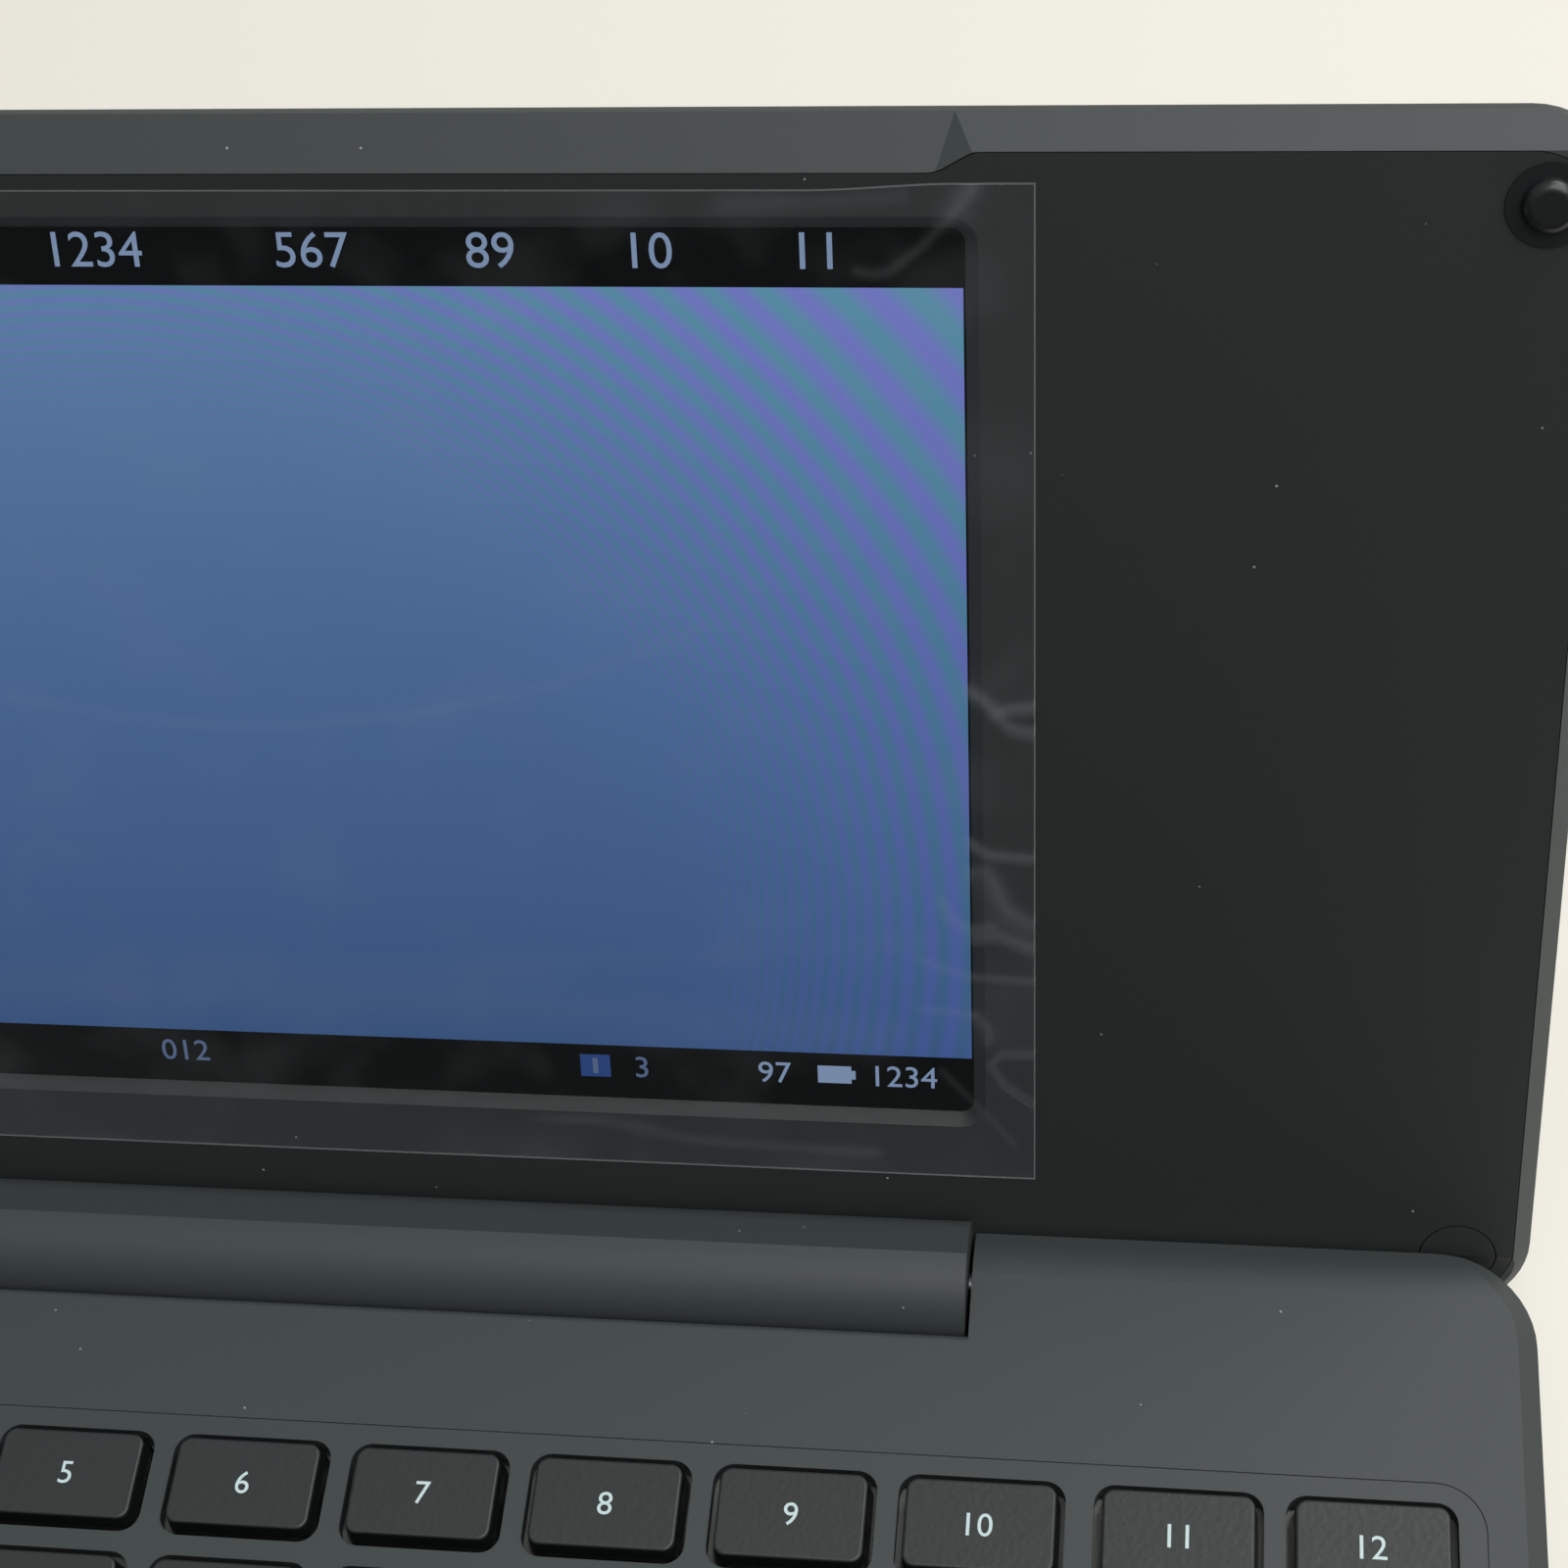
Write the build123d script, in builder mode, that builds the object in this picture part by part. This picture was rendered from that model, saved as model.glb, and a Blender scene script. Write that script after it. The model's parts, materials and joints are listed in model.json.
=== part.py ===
from build123d import *
from math import asin, cos, hypot, radians, sin, sqrt, tan
import os

# Portable word processor: a thin keyboard case with a display lid on a barrel hinge.
# Millimetres. X runs to the right, Y to the rear, Z up; the table is at Z = 0.
# The lid stands open as in use, and its sizes run up the lid from the hinge axis.

# Case outline
CASE_WIDTH = 263.0
CASE_FRONT_REACH = 111.4  # hinge axis to the case's front edge
CASE_REAR_REACH = 4.85  # hinge axis to the case's rear edge
CASE_CORNER_R = 9.3
CASE_HEIGHT = 10.1
CASE_WALL = 1.5
CASE_FLOOR = 1.2
CASE_SPLIT_DEPTH = 5.0  # deck surface to the joint between deck cover and bottom case
CASE_BOTTOM_ROUND = 1.6
CASE_LOW_REAR = 0.75  # how far behind the hinge axis the case's floor ends
CASE_LOW_REAR_STEP = 0.5
FOOT_HEIGHT = 0.7
DECK_THICKNESS = 1.5
DECK_BEVEL_WIDTH = 1.9
DECK_BEVEL_DROP = 1.5
DECK_REAR_FLAT_END = -0.15  # where the deck starts to round off, behind the hinge axis
DECK_REAR_TILT = 30.0
DECK_REAR_ROUND_R = 7.0
REAR_NOSE_LOW_TURN = -62.0  # angles below the hinge axis on the rounded rear edge
REAR_NOSE_MIDDLE_TURN = -38.0
SEAM_GAP = 0.1

# Hinge
HINGE_DEPTH = 3.0  # deck surface to the hinge axis
LID_OPEN_ANGLE = 117.6
LID_CLOSED_GAP = 1.6  # deck surface to the lid's face when closed
BARREL_R = 6.5
BARREL_HALF_LENGTH = 79.0
BARREL_WALL = 1.4
BARREL_BLOCK_REACH = 5.8  # hinge axis to the barrel's flat front wall, along the lid
BARREL_CORNER_R = 3.6
BARREL_END_WALL = 3.0
BARREL_CLEARANCE = 0.35
BARREL_END_CLEARANCE = 0.4
NOTCH_LIP_ROUND = 0.7
NOTCH_FLOOR_REACH = 3.4  # hinge axis to the floor's edge in front of the barrel
POCKET_BELOW = 2.8
POCKET_REAR = 2.6
PIN_WALL_CLEARANCE = 0.15
HINGE_PIN_R = 1.2
HINGE_PIN_LENGTH = 25.0
HINGE_PIN_INSIDE = 14.0  # length of pin inside the barrel
HINGE_PIN_CLEARANCE = 0.05
HINGE_RELIEF_CLEARANCE = 0.3
BRACKET_LENGTH = 16.0
BRACKET_DEPTH = 8.6
BRACKET_REAR = 2.3  # hinge axis to the bracket's rear face
BRACKET_ABOVE = 1.4
BRACKET_END_GAP = 0.2
ARM_WIDTH = 9.0
ARM_THICKNESS = 1.0
ARM_RING_R = 2.6
ARM_FOOT_LENGTH = 12.0
ARM_SLOT_CLEARANCE = 0.2
ARM_FOOT_REAR = 1.4
ARM_END_GAP = 4.0  # barrel's end to the arm's ring

# Lid
LID_REACH = 111.2  # hinge axis to the lid's free edge
LID_REAR_REACH = 4.6  # hinge axis to the lid's hinged edge
LID_THICKNESS = 5.7
LID_WALL = 1.3
LID_CORNER_R = 7.65
LID_SIDE_BEVEL = 1.65
LID_SIDE_BEVEL_DROP = 1.8
LID_BACK_ROUND = 2.4
LID_REAR_ROUND = 4.2
FACE_THICKNESS = 1.0
FACE_LEDGE = 1.2
FACE_EDGE_GAP = 0.08
FREE_EDGE_BEVEL = 2.8
FREE_EDGE_BEVEL_DROP = 2.1
FINGER_NOTCH_HALF = 76.9
FINGER_NOTCH_EXTRA = 1.7
FINGER_NOTCH_RAMP = 3.0
FINGER_NOTCH_ROUND = 3.0

# Display
SCREEN_HALF_WIDTH = 79.2
SCREEN_BOTTOM = 16.0  # hinge axis to the window's lower edge
SCREEN_HEIGHT = 85.9
SCREEN_CORNER_R = 1.3
SCREEN_BEVEL = 1.15
SCREEN_BEVEL_DROP = 0.9
PANEL_MARGIN = 2.8
PANEL_BOARD_SIZE = (70.0, 5.0, 1.5)
PANEL_BOARD_UP = 9.4
FILM_HALF_WIDTH = 85.0
FILM_BOTTOM = 9.3
FILM_TOP = 105.9
FILM_THICKNESS = 0.15
FILM_CORNER_R = 2.5
BUMPER_R = 3.45
BUMPER_FLANGE_HEIGHT = 0.25  # low enough to pass over the keys when closed
BUMPER_DOME_R = 2.25
BUMPER_HEIGHT = 1.4
BUMPER_ROUND = 0.9
BUMPER_X = 125.4
BUMPER_UP = 104.1
CAP_R = 3.5
CAP_X = 124.7
CAP_UP = 2.4
CAP_DEPTH = 0.9
CAP_GAP = 0.12

# Keyboard
KEY_PITCH = 17.0
ROW_PITCH = 15.5
FUNCTION_ROW_PITCH = 11.75
KEY_WEB = 1.93  # strip of deck between two key openings
KEYBOARD_HALF_WIDTH = 124.7
KEYBOARD_REAR = 20.45  # hinge axis to the rear edge of the function keys' openings
KEY_OPENING_R = 1.9
KEY_GAP = 0.45
KEY_HEIGHT = 2.9
KEY_RISE = 1.2  # key top above the deck
KEY_DRAFT = 7.0
KEY_TOP_ROUND = 0.3
KEY_SHELL = 0.9
KEY_TRAVEL = 1.5
KEY_GROOVE_MARGIN = 1.9
KEY_GROOVE_R = 4.5
KEY_GROOVE_WIDTH = 0.12
KEY_GROOVE_DEPTH = 0.15
KEY_EXTRA_WEB = 0.61  # extra strip between the function keys and the two keys right of them
NARROW_KEY = 13.34
PLATE_THICKNESS = 0.6
MEMBRANE_THICKNESS = 0.25
MEMBRANE_SIDE_GAP = 0.5
DOME_R = 2.0
DOME_HEIGHT = 0.35
DOME_GAP = 0.15
LINK_HEIGHT = 0.3
LINK_WIDTH = 0.7
LINK_SIZE = (8.0, 6.4)
PLUNGER_R = 1.2

# Inside the case
BATTERY_SIZE = (104.0, 58.0, 3.9)
BATTERY_X = 36.0
BATTERY_Y_AHEAD = 64.0  # hinge axis to the battery's middle
BOARD_SIZE = (92.0, 62.0, 1.0)
BOARD_Y_AHEAD = 62.0
BOARD_EDGE_GAP = 0.4
STANDOFF_HEIGHT = 0.5
STANDOFF_R = 2.0
CHIP_SIZES = ((14.0, 14.0, 1.2), (12.0, 10.0, 1.0), (7.0, 7.0, 0.9), (6.0, 5.0, 0.8))
CHIP_PLACES = ((8.0, 6.0), (26.0, 8.0), (-14.0, -16.0), (14.0, -18.0))
USB_SIZE = (5.6, 7.6, 2.6)
USB_BEHIND = 22.0  # board middle to the socket's middle
USB_WALL = 0.35
CARD_SIZE = (28.0, 27.0, 2.6)
CARD_SLOT = (24.6, 2.2)
CARD_BEHIND = -8.0
CARD_SLOT_DEPTH = 25.0
PORT_SET_BACK = 0.3
PORT_CLEARANCE = 0.25
RIBBON_WIDTH = 18.0
RIBBON_THICKNESS = 0.2
RIBBON_SLOT_GAP = 0.5
RIBBON_X = -70.0
RIBBON_AHEAD = 40.0
RIB_WIDTH = 1.0

# Small parts
POWER_BUTTON_SIZE = (10.0, 3.6)
POWER_BUTTON_X = -112.0
POWER_BUTTON_AHEAD = 12.0
POWER_BUTTON_HEIGHT = 2.5
POWER_BUTTON_RISE = 0.5
POWER_BUTTON_FLANGE = 0.6
POWER_BUTTON_FLANGE_THICKNESS = 0.4
BUTTON_GAP = 0.15
LAMP_R = 0.7
LAMP_SPACING = 9.5
LAMP_GAP = 0.05
LAMP_COLLAR_R = 1.4
LAMP_COLLAR_THICKNESS = 0.5
FOOT_R = 5.0
FOOT_SEAT_DEPTH = 0.4
FOOT_INSET = 14.0
FOOT_REAR_INSET = 13.0
SCREW_HEAD_R = 1.8
SCREW_HEAD_HEIGHT = 0.9
SCREW_SHANK_R = 1.0
SCREW_SHANK_LENGTH = 4.2
SCREW_CLEARANCE = 0.15
SCREW_DRIVE_WIDTH = 0.5
SCREW_DRIVE_LENGTH = 2.4
SCREW_INSET = 4.3  # case side to the screw's axis
SCREW_AHEAD = (14.0, 50.5, 99.0)  # hinge axis to each row of screws
BOSS_R = 2.1
BOSS_HEIGHT = 2.6
LID_SCREW_HEAD_HEIGHT = 0.55
LID_SCREW_SHANK_LENGTH = 2.4
LID_BOSS_R = 3.9
LID_FLANGE_BACK = 2.2  # lid's face to the joint between the two bosses
LID_SCREW_GAP = 0.05

# Places worked out from the sizes above
open_cos = cos(radians(180 - LID_OPEN_ANGLE))
open_sin = sin(radians(180 - LID_OPEN_ANGLE))
face_offset = HINGE_DEPTH + LID_CLOSED_GAP  # hinge axis to the plane of the lid's face
back_corner_up = LID_REACH - LID_BACK_ROUND
back_corner_in = LID_THICKNESS - LID_BACK_ROUND + face_offset
lid_rear_reach = back_corner_up * open_cos + back_corner_in * open_sin + LID_BACK_ROUND
hinge_y = (CASE_FRONT_REACH - lid_rear_reach) / 2
deck_z = FOOT_HEIGHT + CASE_HEIGHT
bottom_z = FOOT_HEIGHT
split_z = deck_z - CASE_SPLIT_DEPTH
hinge_z = deck_z - HINGE_DEPTH
front_y = hinge_y - CASE_FRONT_REACH
rear_y = hinge_y + CASE_REAR_REACH
case_depth = rear_y - front_y
case_middle_y = (rear_y + front_y) / 2
half_width = CASE_WIDTH / 2

# The lid's own planes: local X along the hinge, local Y up the lid, local Z out of its face
face_origin = (0, hinge_y + face_offset * open_sin, hinge_z - face_offset * open_cos)
face = Plane(origin=face_origin, x_dir=(1, 0, 0), z_dir=(0, -open_sin, open_cos))
axis_plane = face.offset(face_offset)
side_plane = Plane(origin=axis_plane.origin, x_dir=axis_plane.y_dir, z_dir=(1, 0, 0))
case_side = Plane(origin=(0, hinge_y, hinge_z), x_dir=(0, 1, 0), z_dir=(1, 0, 0))

rear_round_end = DECK_REAR_FLAT_END + DECK_REAR_ROUND_R * sin(radians(DECK_REAR_TILT))
rear_round_drop = DECK_REAR_ROUND_R * (1 - cos(radians(DECK_REAR_TILT)))
rear_tilt_drop = (CASE_REAR_REACH - rear_round_end) * tan(radians(DECK_REAR_TILT))
rear_edge_up = HINGE_DEPTH - rear_round_drop - rear_tilt_drop
rear_nose_r = hypot(CASE_REAR_REACH, rear_edge_up)
relief_r = rear_nose_r + HINGE_RELIEF_CLEARANCE
notch_r = BARREL_R + BARREL_CLEARANCE
notch_half = BARREL_HALF_LENGTH + BARREL_END_CLEARANCE
floor_z = bottom_z + CASE_FLOOR
keyboard_rear_y = hinge_y - KEYBOARD_REAR
keyboard_front_y = keyboard_rear_y - FUNCTION_ROW_PITCH - 5 * ROW_PITCH + KEY_WEB
key_bottom_z = deck_z + KEY_RISE - KEY_HEIGHT
membrane_top_z = key_bottom_z - KEY_TRAVEL - DOME_HEIGHT - DOME_GAP
plate_top_z = membrane_top_z - MEMBRANE_THICKNESS
board_x = BOARD_EDGE_GAP + CASE_WALL + BOARD_SIZE[0] / 2 - half_width
board_y = hinge_y - BOARD_Y_AHEAD
board_top_z = floor_z + STANDOFF_HEIGHT + BOARD_SIZE[2]
lid_cavity_depth = LID_THICKNESS - LID_WALL
panel_thickness = lid_cavity_depth - FACE_THICKNESS
screen_middle_up = SCREEN_BOTTOM + SCREEN_HEIGHT / 2
screw_places = [
    (side * (half_width - SCREW_INSET), hinge_y - ahead) for side in (-1, 1) for ahead in SCREW_AHEAD]
bumper_places = [(-BUMPER_X, BUMPER_UP), (BUMPER_X, BUMPER_UP)]
cap_places = [(-CAP_X, CAP_UP), (CAP_X, CAP_UP)]


# Keyboard plan: each row is a list of (name, width of the key with one web)
def row_cells(row_index, names_and_widths, extra_after=None):
    """Rectangles of a row's openings: name, centre x, centre y, width, depth."""
    cells = []
    left = -KEYBOARD_HALF_WIDTH
    top = keyboard_rear_y
    depth = FUNCTION_ROW_PITCH - KEY_WEB
    if row_index:
        top = keyboard_rear_y - FUNCTION_ROW_PITCH - (row_index - 1) * ROW_PITCH
        depth = ROW_PITCH - KEY_WEB
    for name, width in names_and_widths:
        opening = width - KEY_WEB
        cells.append((name, left + width / 2, top - depth / 2, opening, depth))
        left += width
        if name == extra_after:
            left += KEY_EXTRA_WEB
    return cells


full_width = 2 * KEYBOARD_HALF_WIDTH
digit_first = full_width - 14 * KEY_PITCH - KEY_EXTRA_WEB
backspace_width = KEY_PITCH + KEY_EXTRA_WEB
tab_width = digit_first + KEY_PITCH / 2
caps_width = tab_width + KEY_PITCH / 4
shift_width = caps_width + KEY_PITCH / 2
enter_upper = full_width - tab_width - 12 * KEY_PITCH
enter_lower = full_width - caps_width - 12 * KEY_PITCH
convert_width = 20.0
function_first = full_width - 12 * KEY_PITCH - KEY_EXTRA_WEB - KEY_PITCH
space_width = full_width - tab_width - 6 * KEY_PITCH - 2 * convert_width - NARROW_KEY
shift_right_width = full_width - shift_width - 12 * KEY_PITCH

function_row = [("key_esc", function_first), ("key_menu", KEY_PITCH)]
function_row += [("key_f%d" % number, KEY_PITCH) for number in range(1, 11)]
function_row += [("key_insert", KEY_PITCH), ("key_delete", KEY_PITCH)]
digit_row = [("digits", digit_first)] + [("digits", KEY_PITCH)] * 13 + [("key_backspace", backspace_width)]
upper_row = [("key_tab", tab_width)] + [("upper", KEY_PITCH)] * 12
home_row = [("key_caps", caps_width)] + [("home", KEY_PITCH)] * 12
lower_row = [("key_shift_left", shift_width)] + [("lower", KEY_PITCH)] * 11
lower_row += [("key_up", KEY_PITCH), ("key_shift_right", shift_right_width)]
bottom_row = [("key_ctrl", tab_width), ("bottom", KEY_PITCH), ("key_alt", KEY_PITCH)]
bottom_row += [("bottom", convert_width), ("key_space", space_width), ("bottom", convert_width)]
bottom_row += [("bottom", KEY_PITCH), ("bottom", KEY_PITCH)]
bottom_row += [("key_left", KEY_PITCH), ("key_down", KEY_PITCH), ("key_right", NARROW_KEY)]

cells = row_cells(0, function_row, extra_after="key_f10")
cells += row_cells(1, digit_row)
cells += row_cells(2, upper_row)
cells += row_cells(3, home_row)
cells += row_cells(4, lower_row)
cells += row_cells(5, bottom_row)


def enter_outline(inset=0.0, corner=KEY_OPENING_R):
    """The enter key's outline over two rows, wider above than below."""
    right = KEYBOARD_HALF_WIDTH - KEY_WEB / 2 - inset
    left_upper = KEYBOARD_HALF_WIDTH - enter_upper + KEY_WEB / 2 + inset
    left_lower = KEYBOARD_HALF_WIDTH - enter_lower + KEY_WEB / 2 + inset
    top = keyboard_rear_y - FUNCTION_ROW_PITCH - ROW_PITCH - inset
    step = top + inset - ROW_PITCH + KEY_WEB + inset
    bottom = top + 2 * inset - 2 * ROW_PITCH + KEY_WEB
    with BuildSketch() as outline:
        with BuildLine():
            Polyline(
                (left_upper, top), (left_upper, step), (left_lower, step), (left_lower, bottom),
                (right, bottom), (right, top), close=True)
        make_face()
        fillet(outline.vertices(), radius=corner)
    return outline.sketch


def enter_key_place():
    """Middle of the enter key, for its dome and plunger."""
    middle_x = KEYBOARD_HALF_WIDTH - enter_lower / 2
    middle_y = keyboard_rear_y - FUNCTION_ROW_PITCH - 2 * ROW_PITCH + KEY_WEB / 2
    return middle_x, middle_y


key_places = [(x, y) for _, x, y, _, _ in cells] + [enter_key_place()]


# Case
def case_block(low_z, high_z):
    """The case's outer form between two heights, bevelled in plan and rounded at the rear."""
    with BuildPart() as block:
        with BuildSketch(Plane.XY.offset(bottom_z)):
            with Locations((0, case_middle_y)):
                RectangleRounded(CASE_WIDTH, case_depth, CASE_CORNER_R)
        extrude(amount=CASE_HEIGHT)
        top = block.faces().sort_by(Axis.Z)[-1]
        chamfer(top.edges(), length=DECK_BEVEL_WIDTH, length2=DECK_BEVEL_DROP, reference=top)
        fillet(block.faces().sort_by(Axis.Z)[0].edges(), radius=CASE_BOTTOM_ROUND)
        under = HINGE_DEPTH - CASE_HEIGHT
        low_turn = radians(REAR_NOSE_LOW_TURN)
        low_turn_point = (rear_nose_r * cos(low_turn), rear_nose_r * sin(low_turn))
        half_turn = radians(REAR_NOSE_MIDDLE_TURN)
        half_turn_point = (rear_nose_r * cos(half_turn), rear_nose_r * sin(half_turn))
        round_middle = radians(DECK_REAR_TILT / 2)
        round_middle_point = (
            DECK_REAR_FLAT_END + DECK_REAR_ROUND_R * sin(round_middle),
            HINGE_DEPTH - DECK_REAR_ROUND_R * (1 - cos(round_middle)))
        with BuildSketch(case_side):
            with BuildLine():
                Line((-CASE_FRONT_REACH, HINGE_DEPTH), (DECK_REAR_FLAT_END, HINGE_DEPTH))
                ThreePointArc(
                    (DECK_REAR_FLAT_END, HINGE_DEPTH), round_middle_point,
                    (rear_round_end, HINGE_DEPTH - rear_round_drop))
                Line((rear_round_end, HINGE_DEPTH - rear_round_drop), (CASE_REAR_REACH, rear_edge_up))
                Line((CASE_REAR_REACH, rear_edge_up), (CASE_REAR_REACH, -rear_edge_up))
                ThreePointArc((CASE_REAR_REACH, -rear_edge_up), half_turn_point, low_turn_point)
                Line(low_turn_point, (CASE_LOW_REAR, under + CASE_LOW_REAR_STEP))
                Line((CASE_LOW_REAR, under + CASE_LOW_REAR_STEP), (CASE_LOW_REAR - CASE_LOW_REAR_STEP, under))
                Line((CASE_LOW_REAR - CASE_LOW_REAR_STEP, under), (-CASE_FRONT_REACH, under))
                Line((-CASE_FRONT_REACH, under), (-CASE_FRONT_REACH, HINGE_DEPTH))
            make_face()
        extrude(amount=half_width, both=True, mode=Mode.INTERSECT)
        with BuildSketch(Plane.XY.offset(low_z)):
            with Locations((0, case_middle_y)):
                Rectangle(CASE_WIDTH, case_depth)
        extrude(amount=high_z - low_z, mode=Mode.INTERSECT)
    return block.part


def barrel_notch():
    """The space that the barrel turns in, open to the rear and below."""
    with BuildPart() as notch:
        with BuildSketch(case_side):
            Circle(notch_r)
            with Locations((-NOTCH_FLOOR_REACH, 0)):
                Rectangle(
                    2 * NOTCH_FLOOR_REACH + CASE_REAR_REACH, 2 * CASE_HEIGHT, align=(Align.MIN, Align.CENTER))
        extrude(amount=notch_half, both=True)
    return notch.part


def case_cavity(low_z, high_z):
    """The hollow of the case: under the keyboard, and a pocket beside each end of the barrel."""
    rear = hinge_y - notch_r - CASE_WALL
    front = front_y + CASE_WALL
    pocket_width = half_width - CASE_WALL - DECK_BEVEL_WIDTH - notch_half - CASE_WALL
    pocket_x = notch_half + CASE_WALL + pocket_width / 2
    with BuildPart() as cavity:
        with BuildSketch(Plane.XY.offset(low_z)):
            with Locations((0, (front + rear) / 2)):
                RectangleRounded(CASE_WIDTH - 2 * CASE_WALL, rear - front, CASE_CORNER_R - CASE_WALL)
        extrude(amount=high_z - low_z)
        pocket_low = max(low_z, hinge_z - POCKET_BELOW)
        with BuildSketch(Plane.XY.offset(pocket_low)):
            with Locations((-pocket_x, hinge_y + POCKET_REAR), (pocket_x, hinge_y + POCKET_REAR)):
                Rectangle(pocket_width, POCKET_REAR + notch_r + 3 * CASE_WALL, align=(Align.CENTER, Align.MAX))
        extrude(amount=high_z - pocket_low)
    return cavity.part


upper_block = case_block(split_z + SEAM_GAP, deck_z)
upper_cavity = case_cavity(split_z, deck_z - DECK_THICKNESS)
lower_block = case_block(bottom_z, split_z)
lower_cavity = case_cavity(floor_z, split_z)
notch_space = barrel_notch()
enter_opening = enter_outline()

with BuildPart() as deck_cover:
    add(upper_block)
    add(upper_cavity, mode=Mode.SUBTRACT)
    with BuildSketch(Plane.XY.offset(plate_top_z)):
        for rib_y in (keyboard_rear_y + RIB_WIDTH, keyboard_front_y - RIB_WIDTH):
            with Locations((0, rib_y)):
                Rectangle(2 * KEYBOARD_HALF_WIDTH, RIB_WIDTH)
    extrude(amount=deck_z - DECK_THICKNESS - plate_top_z)
    with BuildSketch(Plane.XY.offset(floor_z + BOSS_HEIGHT)):
        with Locations(*screw_places):
            Circle(BOSS_R)
    extrude(amount=deck_z - DECK_THICKNESS - floor_z - BOSS_HEIGHT)
    with BuildSketch(Plane.XY.offset(floor_z)):
        with Locations(*screw_places):
            Circle(SCREW_SHANK_R)
    extrude(amount=SCREW_SHANK_LENGTH, mode=Mode.SUBTRACT)
    add(notch_space, mode=Mode.SUBTRACT)
    deck_edges = deck_cover.edges().filter_by(Axis.X).filter_by_position(Axis.Z, deck_z, deck_z)
    lip = deck_edges.filter_by_position(Axis.Y, hinge_y - notch_r, hinge_y - NOTCH_FLOOR_REACH)
    fillet(lip, radius=NOTCH_LIP_ROUND)
    with BuildSketch(case_side):
        Circle(HINGE_PIN_R + PIN_WALL_CLEARANCE)
    extrude(amount=notch_half + 2 * CASE_WALL, both=True, mode=Mode.SUBTRACT)
    with BuildSketch(Plane.XY.offset(deck_z)):
        for _, x, y, width, depth in cells:
            with Locations((x, y)):
                RectangleRounded(width, depth, KEY_OPENING_R)
        add(enter_opening)
    extrude(amount=-DECK_THICKNESS, mode=Mode.SUBTRACT)
    groove_rear = keyboard_rear_y + KEY_GROOVE_MARGIN
    groove_front = keyboard_front_y - KEY_GROOVE_MARGIN
    groove_width = 2 * (KEYBOARD_HALF_WIDTH - KEY_WEB / 2 + KEY_GROOVE_MARGIN + KEY_EXTRA_WEB)
    with BuildSketch(Plane.XY.offset(deck_z)):
        with Locations((0, (groove_rear + groove_front) / 2)):
            RectangleRounded(groove_width, groove_rear - groove_front, KEY_GROOVE_R)
            RectangleRounded(
                groove_width - 2 * KEY_GROOVE_WIDTH, groove_rear - groove_front - 2 * KEY_GROOVE_WIDTH,
                KEY_GROOVE_R - KEY_GROOVE_WIDTH, mode=Mode.SUBTRACT)
    extrude(amount=-KEY_GROOVE_DEPTH, mode=Mode.SUBTRACT)
    with BuildSketch(Plane.XY.offset(deck_z)):
        with Locations((POWER_BUTTON_X, hinge_y - POWER_BUTTON_AHEAD)):
            SlotOverall(POWER_BUTTON_SIZE[0] + 2 * BUTTON_GAP, POWER_BUTTON_SIZE[1] + 2 * BUTTON_GAP)
        with Locations((POWER_BUTTON_X + LAMP_SPACING, hinge_y - POWER_BUTTON_AHEAD)):
            Circle(LAMP_R + LAMP_GAP)
    extrude(amount=-DECK_THICKNESS, mode=Mode.SUBTRACT)


with BuildPart() as bottom_case:
    add(lower_block)
    add(lower_cavity, mode=Mode.SUBTRACT)
    with BuildSketch(Plane.XY.offset(floor_z)):
        with Locations(*screw_places):
            Circle(BOSS_R)
    extrude(amount=BOSS_HEIGHT)
    with Locations(*[(x, y, bottom_z) for x, y in screw_places]):
        Cylinder(
            SCREW_HEAD_R + SCREW_CLEARANCE, SCREW_HEAD_HEIGHT + SCREW_CLEARANCE, mode=Mode.SUBTRACT,
            align=(Align.CENTER, Align.CENTER, Align.MIN))
        Cylinder(
            SCREW_SHANK_R + SCREW_CLEARANCE, CASE_HEIGHT, mode=Mode.SUBTRACT,
            align=(Align.CENTER, Align.CENTER, Align.MIN))
    board_corner_x = BOARD_SIZE[0] / 2 - STANDOFF_R
    board_corner_y = BOARD_SIZE[1] / 2 - STANDOFF_R
    with BuildSketch(Plane.XY.offset(floor_z)):
        with Locations((board_x, board_y)):
            with GridLocations(2 * board_corner_x, 2 * board_corner_y, 2, 2):
                Circle(STANDOFF_R)
    extrude(amount=STANDOFF_HEIGHT)
    add(notch_space, mode=Mode.SUBTRACT)
    foot_places = [
        (side * (half_width - FOOT_INSET), y) for side in (-1, 1)
        for y in (front_y + FOOT_INSET, hinge_y - FOOT_REAR_INSET)]
    with BuildSketch(Plane.XY.offset(bottom_z)):
        with Locations(*foot_places):
            Circle(FOOT_R)
    extrude(amount=FOOT_SEAT_DEPTH, mode=Mode.SUBTRACT)


# Sockets on the left edge of the board, and their windows in the case
socket_x = PORT_SET_BACK - half_width
usb_y = board_y + USB_BEHIND
card_y = board_y + CARD_BEHIND
window_z = board_top_z - PORT_CLEARANCE


def port_windows():
    """Openings for both sockets through the left wall of the case."""
    with BuildPart() as windows:
        with BuildSketch(Plane.XY.offset(window_z)):
            for y, size in ((usb_y, USB_SIZE), (card_y, CARD_SIZE)):
                with Locations((-half_width, y)):
                    Rectangle(2 * (CASE_WALL + BOARD_EDGE_GAP), size[1] + 2 * PORT_CLEARANCE)
        extrude(amount=USB_SIZE[2] + 2 * PORT_CLEARANCE)
    return windows.part


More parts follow.
